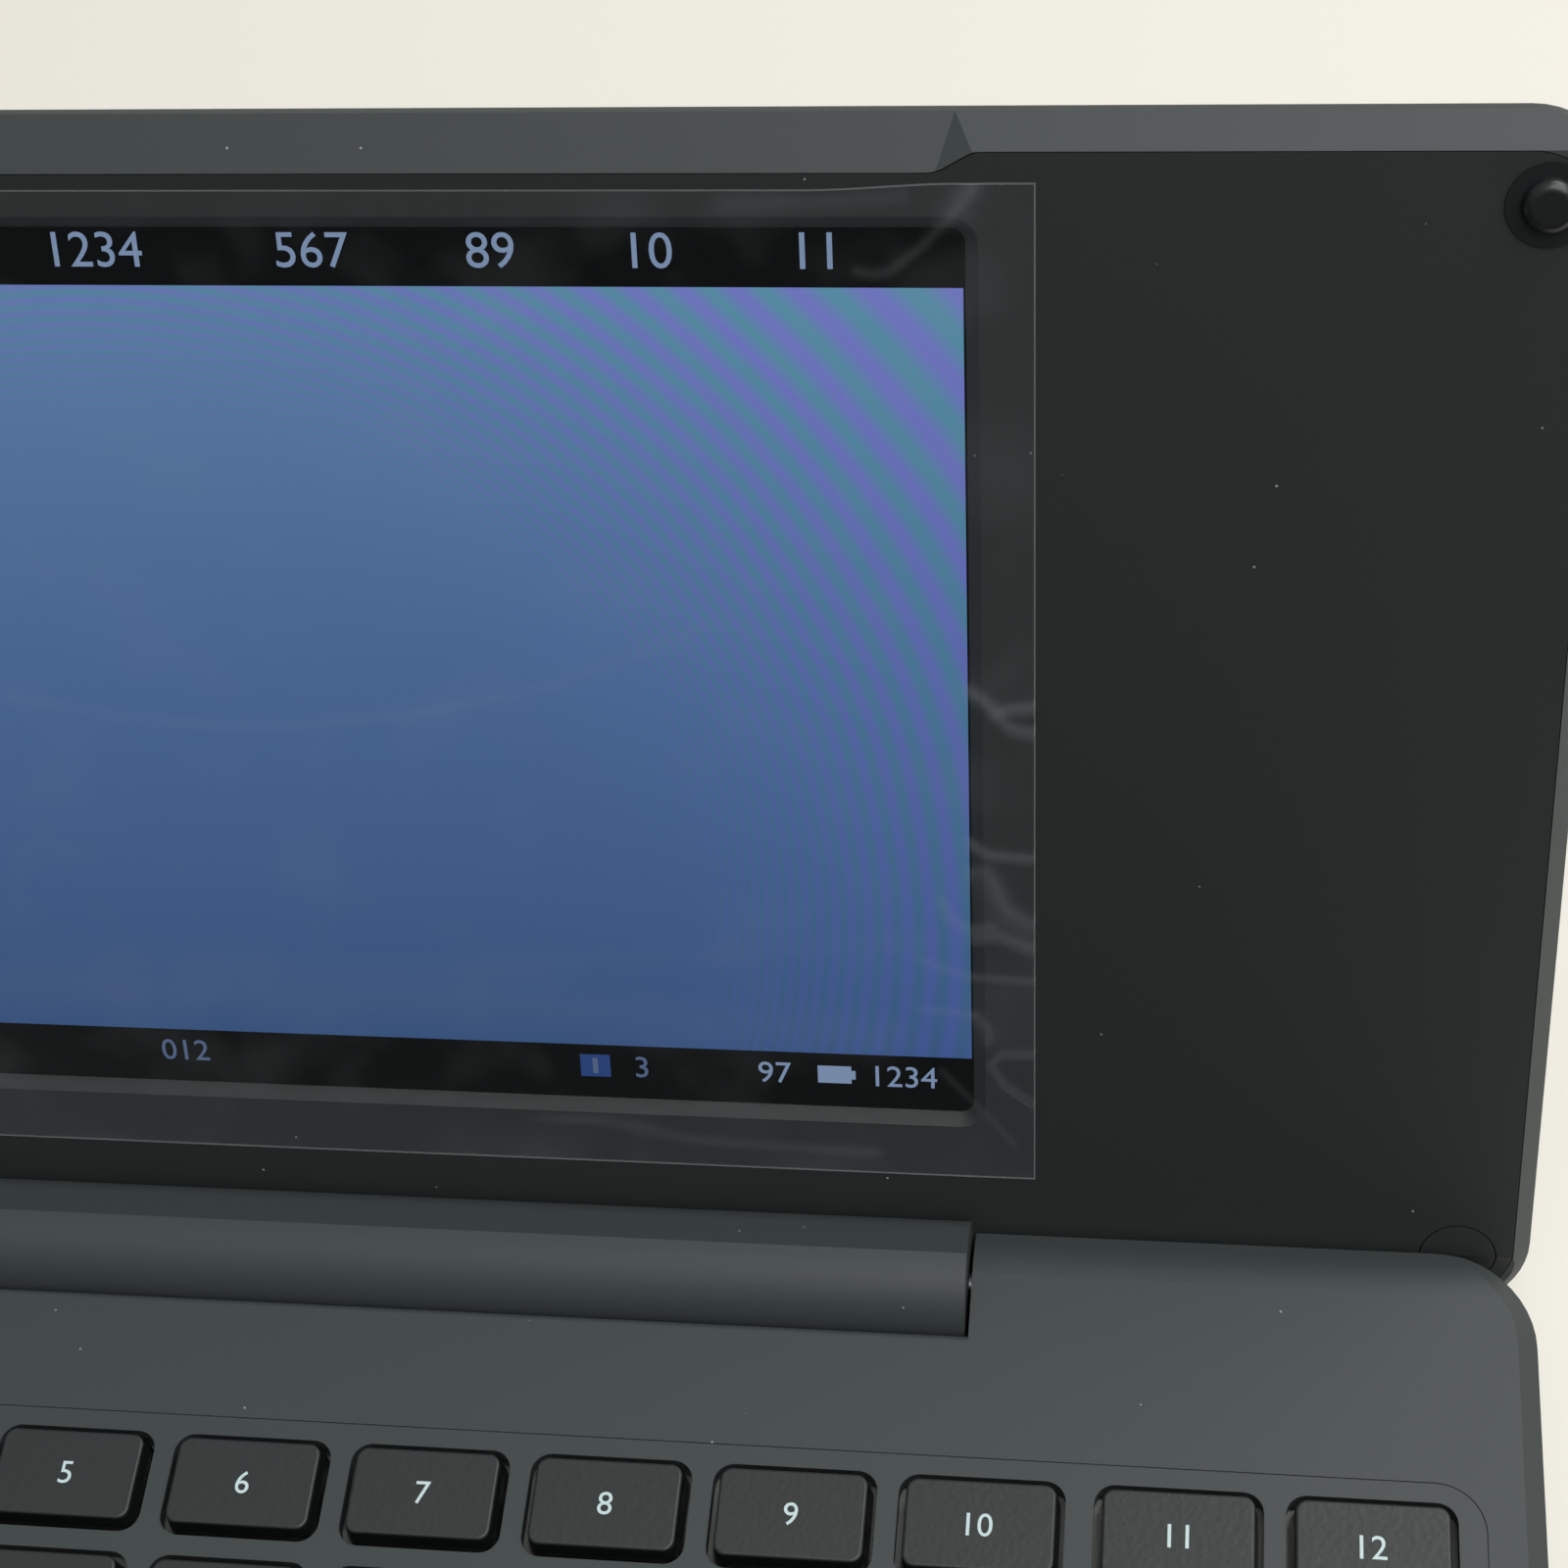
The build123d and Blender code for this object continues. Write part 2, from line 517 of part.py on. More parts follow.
with BuildPart() as usb_socket:
    with BuildSketch(Plane.XY.offset(board_top_z)):
        with Locations((socket_x, usb_y)):
            Rectangle(USB_SIZE[0], USB_SIZE[1], align=(Align.MIN, Align.CENTER))
    extrude(amount=USB_SIZE[2])
    with BuildSketch(Plane.XY.offset(board_top_z + USB_WALL)):
        with Locations((socket_x, usb_y)):
            Rectangle(USB_SIZE[0] - USB_WALL, USB_SIZE[1] - 2 * USB_WALL, align=(Align.MIN, Align.CENTER))
    extrude(amount=USB_SIZE[2] - 2 * USB_WALL, mode=Mode.SUBTRACT)
    with BuildSketch(Plane.XY.offset(board_top_z + USB_SIZE[2] / 2 - USB_WALL)):
        with Locations((socket_x + USB_WALL, usb_y)):
            Rectangle(USB_SIZE[0] - USB_WALL, USB_SIZE[1] / 2, align=(Align.MIN, Align.CENTER))
    extrude(amount=2 * USB_WALL)


with BuildPart() as card_socket:
    with BuildSketch(Plane.XY.offset(board_top_z)):
        with Locations((socket_x, card_y)):
            Rectangle(CARD_SIZE[0], CARD_SIZE[1], align=(Align.MIN, Align.CENTER))
    extrude(amount=CARD_SIZE[2])
    with BuildSketch(Plane.XY.offset(board_top_z + (CARD_SIZE[2] - CARD_SLOT[1]) / 2)):
        with Locations((socket_x, card_y)):
            Rectangle(CARD_SLOT_DEPTH, CARD_SLOT[0], align=(Align.MIN, Align.CENTER))
    extrude(amount=CARD_SLOT[1], mode=Mode.SUBTRACT)

deck_cover.part = deck_cover.part - port_windows()
bottom_case.part = bottom_case.part - port_windows()


# Electronics and hardware inside the case
with BuildPart() as main_board:
    with BuildSketch(Plane.XY.offset(floor_z + STANDOFF_HEIGHT)):
        with Locations((board_x, board_y)):
            Rectangle(BOARD_SIZE[0], BOARD_SIZE[1])
        with Locations(*screw_places):
            Circle(BOSS_R + BOARD_EDGE_GAP, mode=Mode.SUBTRACT)
    extrude(amount=BOARD_SIZE[2])

with BuildPart() as board_chips:
    for chip_size, chip_place in zip(CHIP_SIZES, CHIP_PLACES):
        with Locations((board_x + chip_place[0], board_y + chip_place[1], board_top_z)):
            Box(*chip_size, align=(Align.CENTER, Align.CENTER, Align.MIN))

with BuildPart() as battery_pack:
    with BuildSketch(Plane.XY.offset(floor_z)):
        with Locations((BATTERY_X, hinge_y - BATTERY_Y_AHEAD)):
            RectangleRounded(BATTERY_SIZE[0], BATTERY_SIZE[1], BATTERY_SIZE[2] / 2)
    extrude(amount=BATTERY_SIZE[2])

plate_depth = keyboard_rear_y - keyboard_front_y + 3 * RIB_WIDTH
with BuildPart() as keyboard_plate:
    with BuildSketch(Plane.XY.offset(plate_top_z)):
        with Locations((0, (keyboard_rear_y + keyboard_front_y) / 2)):
            Rectangle(2 * KEYBOARD_HALF_WIDTH, plate_depth)
        with Locations((RIBBON_X, hinge_y - RIBBON_AHEAD)):
            Rectangle(
                RIBBON_WIDTH + 2 * RIBBON_SLOT_GAP, RIBBON_THICKNESS + 2 * RIBBON_SLOT_GAP,
                mode=Mode.SUBTRACT)
    extrude(amount=-PLATE_THICKNESS)

with BuildPart() as keyboard_membrane:
    with BuildSketch(Plane.XY.offset(plate_top_z)):
        with Locations((0, (keyboard_rear_y + keyboard_front_y) / 2)):
            Rectangle(2 * (KEYBOARD_HALF_WIDTH - MEMBRANE_SIDE_GAP), keyboard_rear_y - keyboard_front_y)
    extrude(amount=MEMBRANE_THICKNESS)

with BuildPart() as keyboard_ribbon:
    with BuildSketch(Plane.XY.offset(board_top_z)):
        with Locations((RIBBON_X, hinge_y - RIBBON_AHEAD)):
            Rectangle(RIBBON_WIDTH, RIBBON_THICKNESS)
    extrude(amount=plate_top_z - board_top_z)

with BuildPart() as rubber_domes:
    with BuildSketch(Plane.XY.offset(membrane_top_z)):
        with Locations(*key_places):
            Circle(DOME_R)
    extrude(amount=DOME_HEIGHT, taper=KEY_DRAFT)

with BuildPart() as key_links:
    with BuildSketch(Plane.XY.offset(membrane_top_z)):
        with Locations(*key_places):
            Rectangle(LINK_SIZE[0], LINK_SIZE[1])
            Rectangle(LINK_SIZE[0] - 2 * LINK_WIDTH, LINK_SIZE[1] - 2 * LINK_WIDTH, mode=Mode.SUBTRACT)
    extrude(amount=LINK_HEIGHT)

with BuildPart() as rubber_feet:
    with Locations(*[(x, y, 0) for x, y in foot_places]):
        Cylinder(FOOT_R, FOOT_HEIGHT + FOOT_SEAT_DEPTH, align=(Align.CENTER, Align.CENTER, Align.MIN))
    fillet(rubber_feet.faces().group_by(Axis.Z)[0].edges(), radius=FOOT_HEIGHT / 2)

with BuildPart() as case_screws:
    with Locations(*[(x, y, bottom_z + SCREW_CLEARANCE) for x, y in screw_places]):
        Cylinder(SCREW_HEAD_R, SCREW_HEAD_HEIGHT, align=(Align.CENTER, Align.CENTER, Align.MIN))
        Cylinder(
            SCREW_SHANK_R, SCREW_HEAD_HEIGHT + SCREW_SHANK_LENGTH, align=(Align.CENTER, Align.CENTER, Align.MIN))
    with Locations(*[(x, y, bottom_z + SCREW_CLEARANCE) for x, y in screw_places]):
        Box(SCREW_DRIVE_LENGTH, SCREW_DRIVE_WIDTH, SCREW_HEAD_HEIGHT, mode=Mode.SUBTRACT)
        Box(SCREW_DRIVE_WIDTH, SCREW_DRIVE_LENGTH, SCREW_HEAD_HEIGHT, mode=Mode.SUBTRACT)

bracket_x = notch_half + CASE_WALL + BRACKET_LENGTH / 2 + BRACKET_END_GAP
with BuildPart() as hinge_brackets:
    with Locations(*[(side * bracket_x, hinge_y + BRACKET_REAR, hinge_z + BRACKET_ABOVE) for side in (-1, 1)]):
        Box(
            BRACKET_LENGTH, BRACKET_DEPTH, BRACKET_ABOVE + POCKET_BELOW,
            align=(Align.CENTER, Align.MAX, Align.MAX))
    with BuildSketch(case_side):
        Circle(HINGE_PIN_R)
    extrude(amount=half_width, both=True, mode=Mode.SUBTRACT)

pin_start = BARREL_HALF_LENGTH - HINGE_PIN_INSIDE
with BuildPart() as hinge_pins:
    for side in (-1, 1):
        with BuildSketch(case_side.offset(side * pin_start)):
            Circle(HINGE_PIN_R)
        extrude(amount=side * HINGE_PIN_LENGTH)

with BuildPart() as power_button:
    button_low = deck_z + POWER_BUTTON_RISE - POWER_BUTTON_HEIGHT
    with BuildSketch(Plane.XY.offset(button_low)):
        with Locations((POWER_BUTTON_X, hinge_y - POWER_BUTTON_AHEAD)):
            SlotOverall(*POWER_BUTTON_SIZE)
    extrude(amount=POWER_BUTTON_HEIGHT)
    fillet(power_button.faces().sort_by(Axis.Z)[-1].edges(), radius=KEY_TOP_ROUND)
    with BuildSketch(Plane.XY.offset(button_low)):
        with Locations((POWER_BUTTON_X, hinge_y - POWER_BUTTON_AHEAD)):
            SlotOverall(
                POWER_BUTTON_SIZE[0] + 2 * POWER_BUTTON_FLANGE, POWER_BUTTON_SIZE[1] + 2 * POWER_BUTTON_FLANGE)
    extrude(amount=POWER_BUTTON_FLANGE_THICKNESS)

with BuildPart() as power_lamp:
    lamp_low = deck_z - DECK_THICKNESS - LAMP_COLLAR_THICKNESS
    with Locations((POWER_BUTTON_X + LAMP_SPACING, hinge_y - POWER_BUTTON_AHEAD, lamp_low)):
        Cylinder(LAMP_R, deck_z - lamp_low, align=(Align.CENTER, Align.CENTER, Align.MIN))
        Cylinder(LAMP_COLLAR_R, LAMP_COLLAR_THICKNESS, align=(Align.CENTER, Align.CENTER, Align.MIN))


# Keys
def key_cap(outline, shell_outline, place):
    """A hollow key with drafted sides and a plunger under its middle."""
    with BuildPart() as cap:
        with BuildSketch(Plane.XY.offset(key_bottom_z)):
            add(outline)
        extrude(amount=KEY_HEIGHT, taper=KEY_DRAFT)
        fillet(cap.faces().sort_by(Axis.Z)[-1].edges(), radius=KEY_TOP_ROUND)
        with BuildSketch(Plane.XY.offset(key_bottom_z)):
            add(shell_outline)
        extrude(amount=KEY_HEIGHT - KEY_SHELL, taper=KEY_DRAFT, mode=Mode.SUBTRACT)
        with BuildSketch(Plane.XY.offset(key_bottom_z)):
            with Locations(place):
                Circle(PLUNGER_R)
        extrude(amount=KEY_HEIGHT - KEY_SHELL)
    return cap.part


def rectangle_key(cell):
    """A key for one rectangular opening."""
    _, x, y, width, depth = cell
    with BuildSketch() as outline:
        with Locations((x, y)):
            RectangleRounded(width - 2 * KEY_GAP, depth - 2 * KEY_GAP, KEY_OPENING_R - KEY_GAP)
    with BuildSketch() as shell_outline:
        with Locations((x, y)):
            inset = 2 * (KEY_GAP + KEY_SHELL)
            RectangleRounded(width - inset, depth - inset, KEY_OPENING_R - KEY_GAP - KEY_SHELL)
    return key_cap(outline.sketch, shell_outline.sketch, (x, y))


pieces = {}
for cell in cells:
    if cell[0].startswith("key_"):
        pieces[cell[0]] = rectangle_key(cell)

enter_cap = enter_outline(KEY_GAP, KEY_OPENING_R - KEY_GAP)
enter_shell = enter_outline(KEY_GAP + KEY_SHELL, KEY_OPENING_R - KEY_GAP - KEY_SHELL)
pieces["key_enter"] = key_cap(enter_cap, enter_shell, enter_key_place())

for bank in ("digits", "upper", "home", "lower", "bottom"):
    pieces["keys_" + bank] = Part() + [rectangle_key(cell) for cell in cells if cell[0] == bank]


# Lid
face_low = LID_SIDE_BEVEL - LID_REAR_REACH
face_high = LID_REACH - FREE_EDGE_BEVEL


def face_outline(inset=0.0):
    """The lid's face inside its bevelled rim, cut back at the finger notch."""
    width = CASE_WIDTH - 2 * LID_SIDE_BEVEL - 2 * inset
    low = face_low + inset
    high = face_high - inset
    notch = high - FINGER_NOTCH_EXTRA
    foot = FINGER_NOTCH_HALF + inset
    ramp = foot + FINGER_NOTCH_RAMP
    above = high + FINGER_NOTCH_EXTRA
    with BuildSketch() as outline:
        with Locations((0, (low + high) / 2)):
            RectangleRounded(width, high - low, LID_CORNER_R - LID_SIDE_BEVEL - inset)
        with BuildLine():
            Polyline(
                (-ramp, above), (-ramp, high), (-foot, notch), (foot, notch), (ramp, high), (ramp, above),
                close=True)
        make_face(mode=Mode.SUBTRACT)
        ramp_ends = outline.vertices().filter_by_position(Axis.X, -ramp, ramp).filter_by_position(
            Axis.Y, notch, high)
        fillet(ramp_ends, radius=FINGER_NOTCH_ROUND)
    return outline.sketch


def free_edge_bevel(bevel, drop):
    """A wedge that bevels the lid's free edge over its whole length."""
    reach = 2 * bevel
    with BuildPart() as wedge:
        with BuildSketch(side_plane):
            with BuildLine():
                Polyline(
                    (LID_REACH - bevel, -face_offset), (LID_REACH - bevel + reach, -face_offset),
                    (LID_REACH - bevel + reach, -face_offset - reach * drop / bevel), close=True)
            make_face()
        extrude(amount=half_width, both=True)
    return wedge.part


def finger_notch():
    """The wider bevel at the middle of the free edge, with a slanting ramp at each end."""
    with BuildPart() as notch:
        add(notch_wedge)
        for side in (-1, 1):
            foot = face.from_local_coords((side * FINGER_NOTCH_HALF, face_high - FINGER_NOTCH_EXTRA, 0))
            top = face.from_local_coords((side * (FINGER_NOTCH_HALF + FINGER_NOTCH_RAMP), face_high, 0))
            outer = face.from_local_coords(
                (side * (FINGER_NOTCH_HALF + FINGER_NOTCH_RAMP / 2), LID_REACH, -FREE_EDGE_BEVEL_DROP))
            ramp_plane = Plane(origin=foot, x_dir=top - foot, z_dir=(top - foot).cross(outer - foot) * side)
            split(bisect_by=ramp_plane, keep=Keep.TOP)
    return notch.part


def lid_form():
    """The lid's outer form: bevelled at the face, rounded at the back and at the hinged edge."""
    back_level = -face_offset - LID_THICKNESS
    arc_middle = LID_REAR_ROUND * (1 - sqrt(0.5))
    with BuildPart() as form:
        with BuildSketch(face):
            with Locations((0, (LID_REACH - LID_REAR_REACH) / 2)):
                RectangleRounded(CASE_WIDTH, LID_REACH + LID_REAR_REACH, LID_CORNER_R)
        extrude(amount=-LID_THICKNESS)
        outward = Axis(face.origin, face.z_dir)
        front = form.faces().sort_by(outward)[-1]
        chamfer(front.edges(), length=LID_SIDE_BEVEL, length2=LID_SIDE_BEVEL_DROP, reference=front)
        fillet(form.faces().sort_by(outward)[0].edges(), radius=LID_BACK_ROUND)
        with BuildSketch(side_plane):
            with BuildLine():
                Line((-LID_REAR_REACH, -face_offset), (LID_REACH, -face_offset))
                Line((LID_REACH, -face_offset), (LID_REACH, back_level))
                Line((LID_REACH, back_level), (LID_REAR_ROUND - LID_REAR_REACH, back_level))
                ThreePointArc(
                    (LID_REAR_ROUND - LID_REAR_REACH, back_level),
                    (arc_middle - LID_REAR_REACH, back_level + arc_middle),
                    (-LID_REAR_REACH, back_level + LID_REAR_ROUND))
                Line((-LID_REAR_REACH, back_level + LID_REAR_ROUND), (-LID_REAR_REACH, -face_offset))
            make_face()
        extrude(amount=half_width, both=True, mode=Mode.INTERSECT)
    return form.part


def hinge_relief():
    """The round scoops in the lid's face beside the barrel, for the case's rear edge to turn in."""
    with BuildPart() as relief:
        for side in (-1, 1):
            with BuildSketch(side_plane.offset(side * notch_half)):
                Circle(relief_r)
            extrude(amount=side * (half_width - notch_half))
    return relief.part


lid_block = lid_form()
plain_wedge = free_edge_bevel(FREE_EDGE_BEVEL, FREE_EDGE_BEVEL_DROP)
notch_wedge = free_edge_bevel(FREE_EDGE_BEVEL + FINGER_NOTCH_EXTRA, FREE_EDGE_BEVEL_DROP)
notch_cut = finger_notch()
relief_cut = hinge_relief()
face_pocket = face_outline()
face_opening = face_outline(FACE_LEDGE)
face_sheet = face_outline(FACE_EDGE_GAP)
boss_limit = face_outline(FACE_LEDGE + FACE_EDGE_GAP)
arm_x = BARREL_HALF_LENGTH - ARM_END_GAP - ARM_WIDTH / 2
arm_slot_width = ARM_WIDTH + 2 * ARM_SLOT_CLEARANCE
arm_slot_height = ARM_THICKNESS + 2 * ARM_SLOT_CLEARANCE

with BuildPart() as lid_back_cover:
    add(lid_block)
    add(plain_wedge, mode=Mode.SUBTRACT)
    add(notch_cut, mode=Mode.SUBTRACT)
    with BuildSketch(face):
        add(face_pocket)
    extrude(amount=-FACE_THICKNESS, mode=Mode.SUBTRACT)
    with BuildSketch(face):
        add(face_opening)
    extrude(amount=-lid_cavity_depth, mode=Mode.SUBTRACT)
    with BuildSketch(face.offset(-lid_cavity_depth)):
        with Locations(*bumper_places, *cap_places):
            Circle(LID_BOSS_R)
    extrude(amount=lid_cavity_depth - LID_FLANGE_BACK)
    with BuildSketch(face.offset(-LID_FLANGE_BACK)):
        with Locations(*bumper_places, *cap_places):
            Circle(SCREW_SHANK_R)
    extrude(amount=-LID_SCREW_SHANK_LENGTH, mode=Mode.SUBTRACT)
    add(relief_cut, mode=Mode.SUBTRACT)

with BuildPart() as lid_front_frame:
    with BuildSketch(face):
        add(face_sheet)
    extrude(amount=-FACE_THICKNESS)
    with BuildSketch(face.offset(-FACE_THICKNESS)):
        with Locations(*bumper_places, *cap_places):
            Circle(LID_BOSS_R)
        add(boss_limit, mode=Mode.INTERSECT)
    extrude(amount=FACE_THICKNESS - LID_FLANGE_BACK)
    with BuildSketch(face):
        with Locations(*bumper_places):
            Circle(BUMPER_R)
        with Locations(*cap_places):
            Circle(CAP_R + CAP_GAP)
    extrude(amount=-CAP_DEPTH, mode=Mode.SUBTRACT)
    with BuildSketch(face):
        with Locations(*bumper_places, *cap_places):
            Circle(SCREW_HEAD_R + SCREW_CLEARANCE)
    extrude(amount=-CAP_DEPTH - LID_SCREW_GAP - LID_SCREW_HEAD_HEIGHT, mode=Mode.SUBTRACT)
    with BuildSketch(face):
        with Locations(*bumper_places, *cap_places):
            Circle(SCREW_SHANK_R + SCREW_CLEARANCE)
        with Locations((0, screen_middle_up)):
            RectangleRounded(2 * SCREEN_HALF_WIDTH, SCREEN_HEIGHT, SCREEN_CORNER_R)
        with Locations((-arm_x, 0), (arm_x, 0)):
            Rectangle(arm_slot_width, arm_slot_height)
    extrude(amount=-LID_FLANGE_BACK, mode=Mode.SUBTRACT)
    bevelled_width = 2 * SCREEN_HALF_WIDTH + 2 * SCREEN_BEVEL
    bevelled_height = SCREEN_HEIGHT + 2 * SCREEN_BEVEL
    with BuildSketch(face):
        with Locations((0, screen_middle_up)):
            RectangleRounded(bevelled_width, bevelled_height, SCREEN_CORNER_R + SCREEN_BEVEL)
    with BuildSketch(face.offset(-SCREEN_BEVEL_DROP)):
        with Locations((0, screen_middle_up)):
            RectangleRounded(2 * SCREEN_HALF_WIDTH, SCREEN_HEIGHT, SCREEN_CORNER_R)
    loft(mode=Mode.SUBTRACT)
    add(relief_cut, mode=Mode.SUBTRACT)

with BuildPart() as screen_panel:
    with BuildSketch(face.offset(-FACE_THICKNESS)):
        with Locations((0, screen_middle_up)):
            Rectangle(2 * SCREEN_HALF_WIDTH + 2 * PANEL_MARGIN, SCREEN_HEIGHT + 2 * PANEL_MARGIN)
    extrude(amount=-panel_thickness)

with BuildPart() as panel_board:
    with BuildSketch(face.offset(-lid_cavity_depth)):
        with Locations((0, PANEL_BOARD_UP)):
            Rectangle(PANEL_BOARD_SIZE[0], PANEL_BOARD_SIZE[1])
    extrude(amount=PANEL_BOARD_SIZE[2])

with BuildPart() as protective_film:
    with BuildSketch(face):
        with Locations((0, (FILM_BOTTOM + FILM_TOP) / 2)):
            RectangleRounded(2 * FILM_HALF_WIDTH, FILM_TOP - FILM_BOTTOM, FILM_CORNER_R)
    extrude(amount=FILM_THICKNESS)

with BuildPart() as lid_bumpers:
    with BuildSketch(face.offset(-CAP_DEPTH)):
        with Locations(*bumper_places):
            Circle(BUMPER_R)
    extrude(amount=CAP_DEPTH + BUMPER_FLANGE_HEIGHT)
    with BuildSketch(face):
        with Locations(*bumper_places):
            Circle(BUMPER_DOME_R)
    extrude(amount=BUMPER_HEIGHT)
    fillet(lid_bumpers.faces().group_by(Axis(face.origin, face.z_dir))[-1].edges(), radius=BUMPER_ROUND)

with BuildPart() as lid_screw_caps:
    with BuildSketch(face.offset(-CAP_DEPTH)):
        with Locations(*cap_places):
            Circle(CAP_R)
    extrude(amount=CAP_DEPTH)
    add(relief_cut, mode=Mode.SUBTRACT)

head_top = -CAP_DEPTH - LID_SCREW_GAP
with BuildPart() as lid_screws:
    with BuildSketch(face.offset(head_top)):
        with Locations(*bumper_places, *cap_places):
            Circle(SCREW_HEAD_R)
    extrude(amount=-LID_SCREW_HEAD_HEIGHT)
    with BuildSketch(face.offset(head_top)):
        with Locations(*bumper_places, *cap_places):
            Circle(SCREW_SHANK_R)
    extrude(amount=-LID_SCREW_HEAD_HEIGHT - LID_SCREW_SHANK_LENGTH)


# Hinge: the barrel and its arms turn with the lid
def barrel_profile():
    """Cross-section of the barrel: round about the hinge axis, flat where it meets the lid's face."""
    meet = -sqrt(BARREL_R ** 2 - face_offset ** 2)
    block_top = sqrt(BARREL_R ** 2 - BARREL_BLOCK_REACH ** 2)
    with BuildSketch() as profile:
        with BuildLine():
            Line((meet, -face_offset), (BARREL_BLOCK_REACH, -face_offset))
            Line((BARREL_BLOCK_REACH, -face_offset), (BARREL_BLOCK_REACH, block_top))
            ThreePointArc((BARREL_BLOCK_REACH, block_top), (0, BARREL_R), (-BARREL_R, 0))
            ThreePointArc(
                (-BARREL_R, 0), (-BARREL_R * cos(asin(face_offset / BARREL_R) / 2),
                -BARREL_R * sin(asin(face_offset / BARREL_R) / 2)), (meet, -face_offset))
        make_face()
        corner = profile.vertices().filter_by_position(
            Axis.X, BARREL_BLOCK_REACH, BARREL_BLOCK_REACH).sort_by(Axis.Y)[-1]
        fillet(corner, radius=BARREL_CORNER_R)
    return profile.sketch


barrel_section = barrel_profile()
with BuildPart() as hinge_barrel:
    with BuildSketch(side_plane):
        add(barrel_section)
    extrude(amount=BARREL_HALF_LENGTH, both=True)
    with BuildSketch(side_plane):
        add(barrel_section)
        offset(amount=-BARREL_WALL, mode=Mode.REPLACE)
    extrude(amount=BARREL_HALF_LENGTH - BARREL_END_WALL, both=True, mode=Mode.SUBTRACT)
    with BuildSketch(side_plane):
        Circle(HINGE_PIN_R + HINGE_PIN_CLEARANCE)
    extrude(amount=BARREL_HALF_LENGTH, both=True, mode=Mode.SUBTRACT)
    with BuildSketch(face):
        with Locations((-arm_x, 0), (arm_x, 0)):
            Rectangle(arm_slot_width, arm_slot_height)
    extrude(amount=face_offset, mode=Mode.SUBTRACT)

arm_foot_depth = FACE_THICKNESS + ARM_THICKNESS
with BuildPart() as hinge_arms:
    for side in (-1, 1):
        with BuildSketch(side_plane.offset(side * arm_x)):
            Circle(ARM_RING_R)
            with Locations((-ARM_THICKNESS / 2, -face_offset - FACE_THICKNESS)):
                Rectangle(ARM_THICKNESS, face_offset + FACE_THICKNESS, align=(Align.MIN, Align.MIN))
            with Locations((-ARM_FOOT_REAR, -face_offset - arm_foot_depth)):
                Rectangle(ARM_FOOT_REAR + ARM_FOOT_LENGTH, ARM_THICKNESS, align=(Align.MIN, Align.MIN))
            Circle(HINGE_PIN_R + HINGE_PIN_CLEARANCE, mode=Mode.SUBTRACT)
        extrude(amount=ARM_WIDTH / 2, both=True)


pieces.update(
    bottom_case=bottom_case.part, deck_cover=deck_cover.part, keyboard_plate=keyboard_plate.part,
    keyboard_membrane=keyboard_membrane.part, rubber_domes=rubber_domes.part, key_links=key_links.part,
    keyboard_ribbon=keyboard_ribbon.part, main_board=main_board.part, board_chips=board_chips.part,
    battery_pack=battery_pack.part, usb_socket=usb_socket.part, card_socket=card_socket.part,
    power_button=power_button.part, power_lamp=power_lamp.part, rubber_feet=rubber_feet.part,
    case_screws=case_screws.part, hinge_brackets=hinge_brackets.part, hinge_pins=hinge_pins.part,
    hinge_barrel=hinge_barrel.part, hinge_arms=hinge_arms.part, lid_back_cover=lid_back_cover.part,
    lid_front_frame=lid_front_frame.part, screen_panel=screen_panel.part, panel_board=panel_board.part,
    protective_film=protective_film.part, lid_bumpers=lid_bumpers.part,
    lid_screw_caps=lid_screw_caps.part, lid_screws=lid_screws.part)

os.makedirs("parts", exist_ok=True)
for name, piece in pieces.items():
    piece.label = name
    export_step(piece, "parts/" + name + ".step")
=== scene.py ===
"""Looks of a portable word processor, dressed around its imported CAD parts.

The lid stands open as in use. Lengths in the classes are millimetres, and the
scene itself is in metres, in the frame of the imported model: +X along the
hinge, +Y to the rear, +Z up, with the table at Z = 0.
"""

import json
import logging
import math
from dataclasses import dataclass, field
from enum import Enum

import bpy
from mathutils import Matrix, Vector

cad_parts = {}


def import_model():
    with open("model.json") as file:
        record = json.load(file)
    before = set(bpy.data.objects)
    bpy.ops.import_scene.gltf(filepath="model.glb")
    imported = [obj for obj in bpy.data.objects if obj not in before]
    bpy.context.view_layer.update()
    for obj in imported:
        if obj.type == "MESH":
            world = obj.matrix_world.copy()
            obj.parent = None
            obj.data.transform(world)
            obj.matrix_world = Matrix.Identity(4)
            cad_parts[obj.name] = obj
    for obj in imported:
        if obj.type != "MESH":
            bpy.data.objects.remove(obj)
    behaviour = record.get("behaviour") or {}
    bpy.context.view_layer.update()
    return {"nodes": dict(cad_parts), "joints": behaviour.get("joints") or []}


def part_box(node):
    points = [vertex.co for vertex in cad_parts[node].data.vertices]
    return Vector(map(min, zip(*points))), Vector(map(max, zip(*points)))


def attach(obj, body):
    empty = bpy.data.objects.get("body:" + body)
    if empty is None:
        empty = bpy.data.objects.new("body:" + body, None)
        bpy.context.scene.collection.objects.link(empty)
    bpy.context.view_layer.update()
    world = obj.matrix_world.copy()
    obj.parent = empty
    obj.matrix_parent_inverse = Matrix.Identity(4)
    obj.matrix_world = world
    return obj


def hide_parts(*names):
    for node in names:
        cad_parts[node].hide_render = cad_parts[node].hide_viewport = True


log = logging.getLogger("word_processor")

Colour = tuple[float, float, float, float]

MM = 0.001
PHOTO_PIXELS = 1600
# The film's milkiness, which on its creases also carries a painted highlight.
HAZE_AND_HIGHLIGHT_ATTRIBUTE = "haze"
GRAIN_DETAIL = 3.0
GRAIN_ROUGHNESS = 0.55
DIGIT_CURVE_STEPS = 4


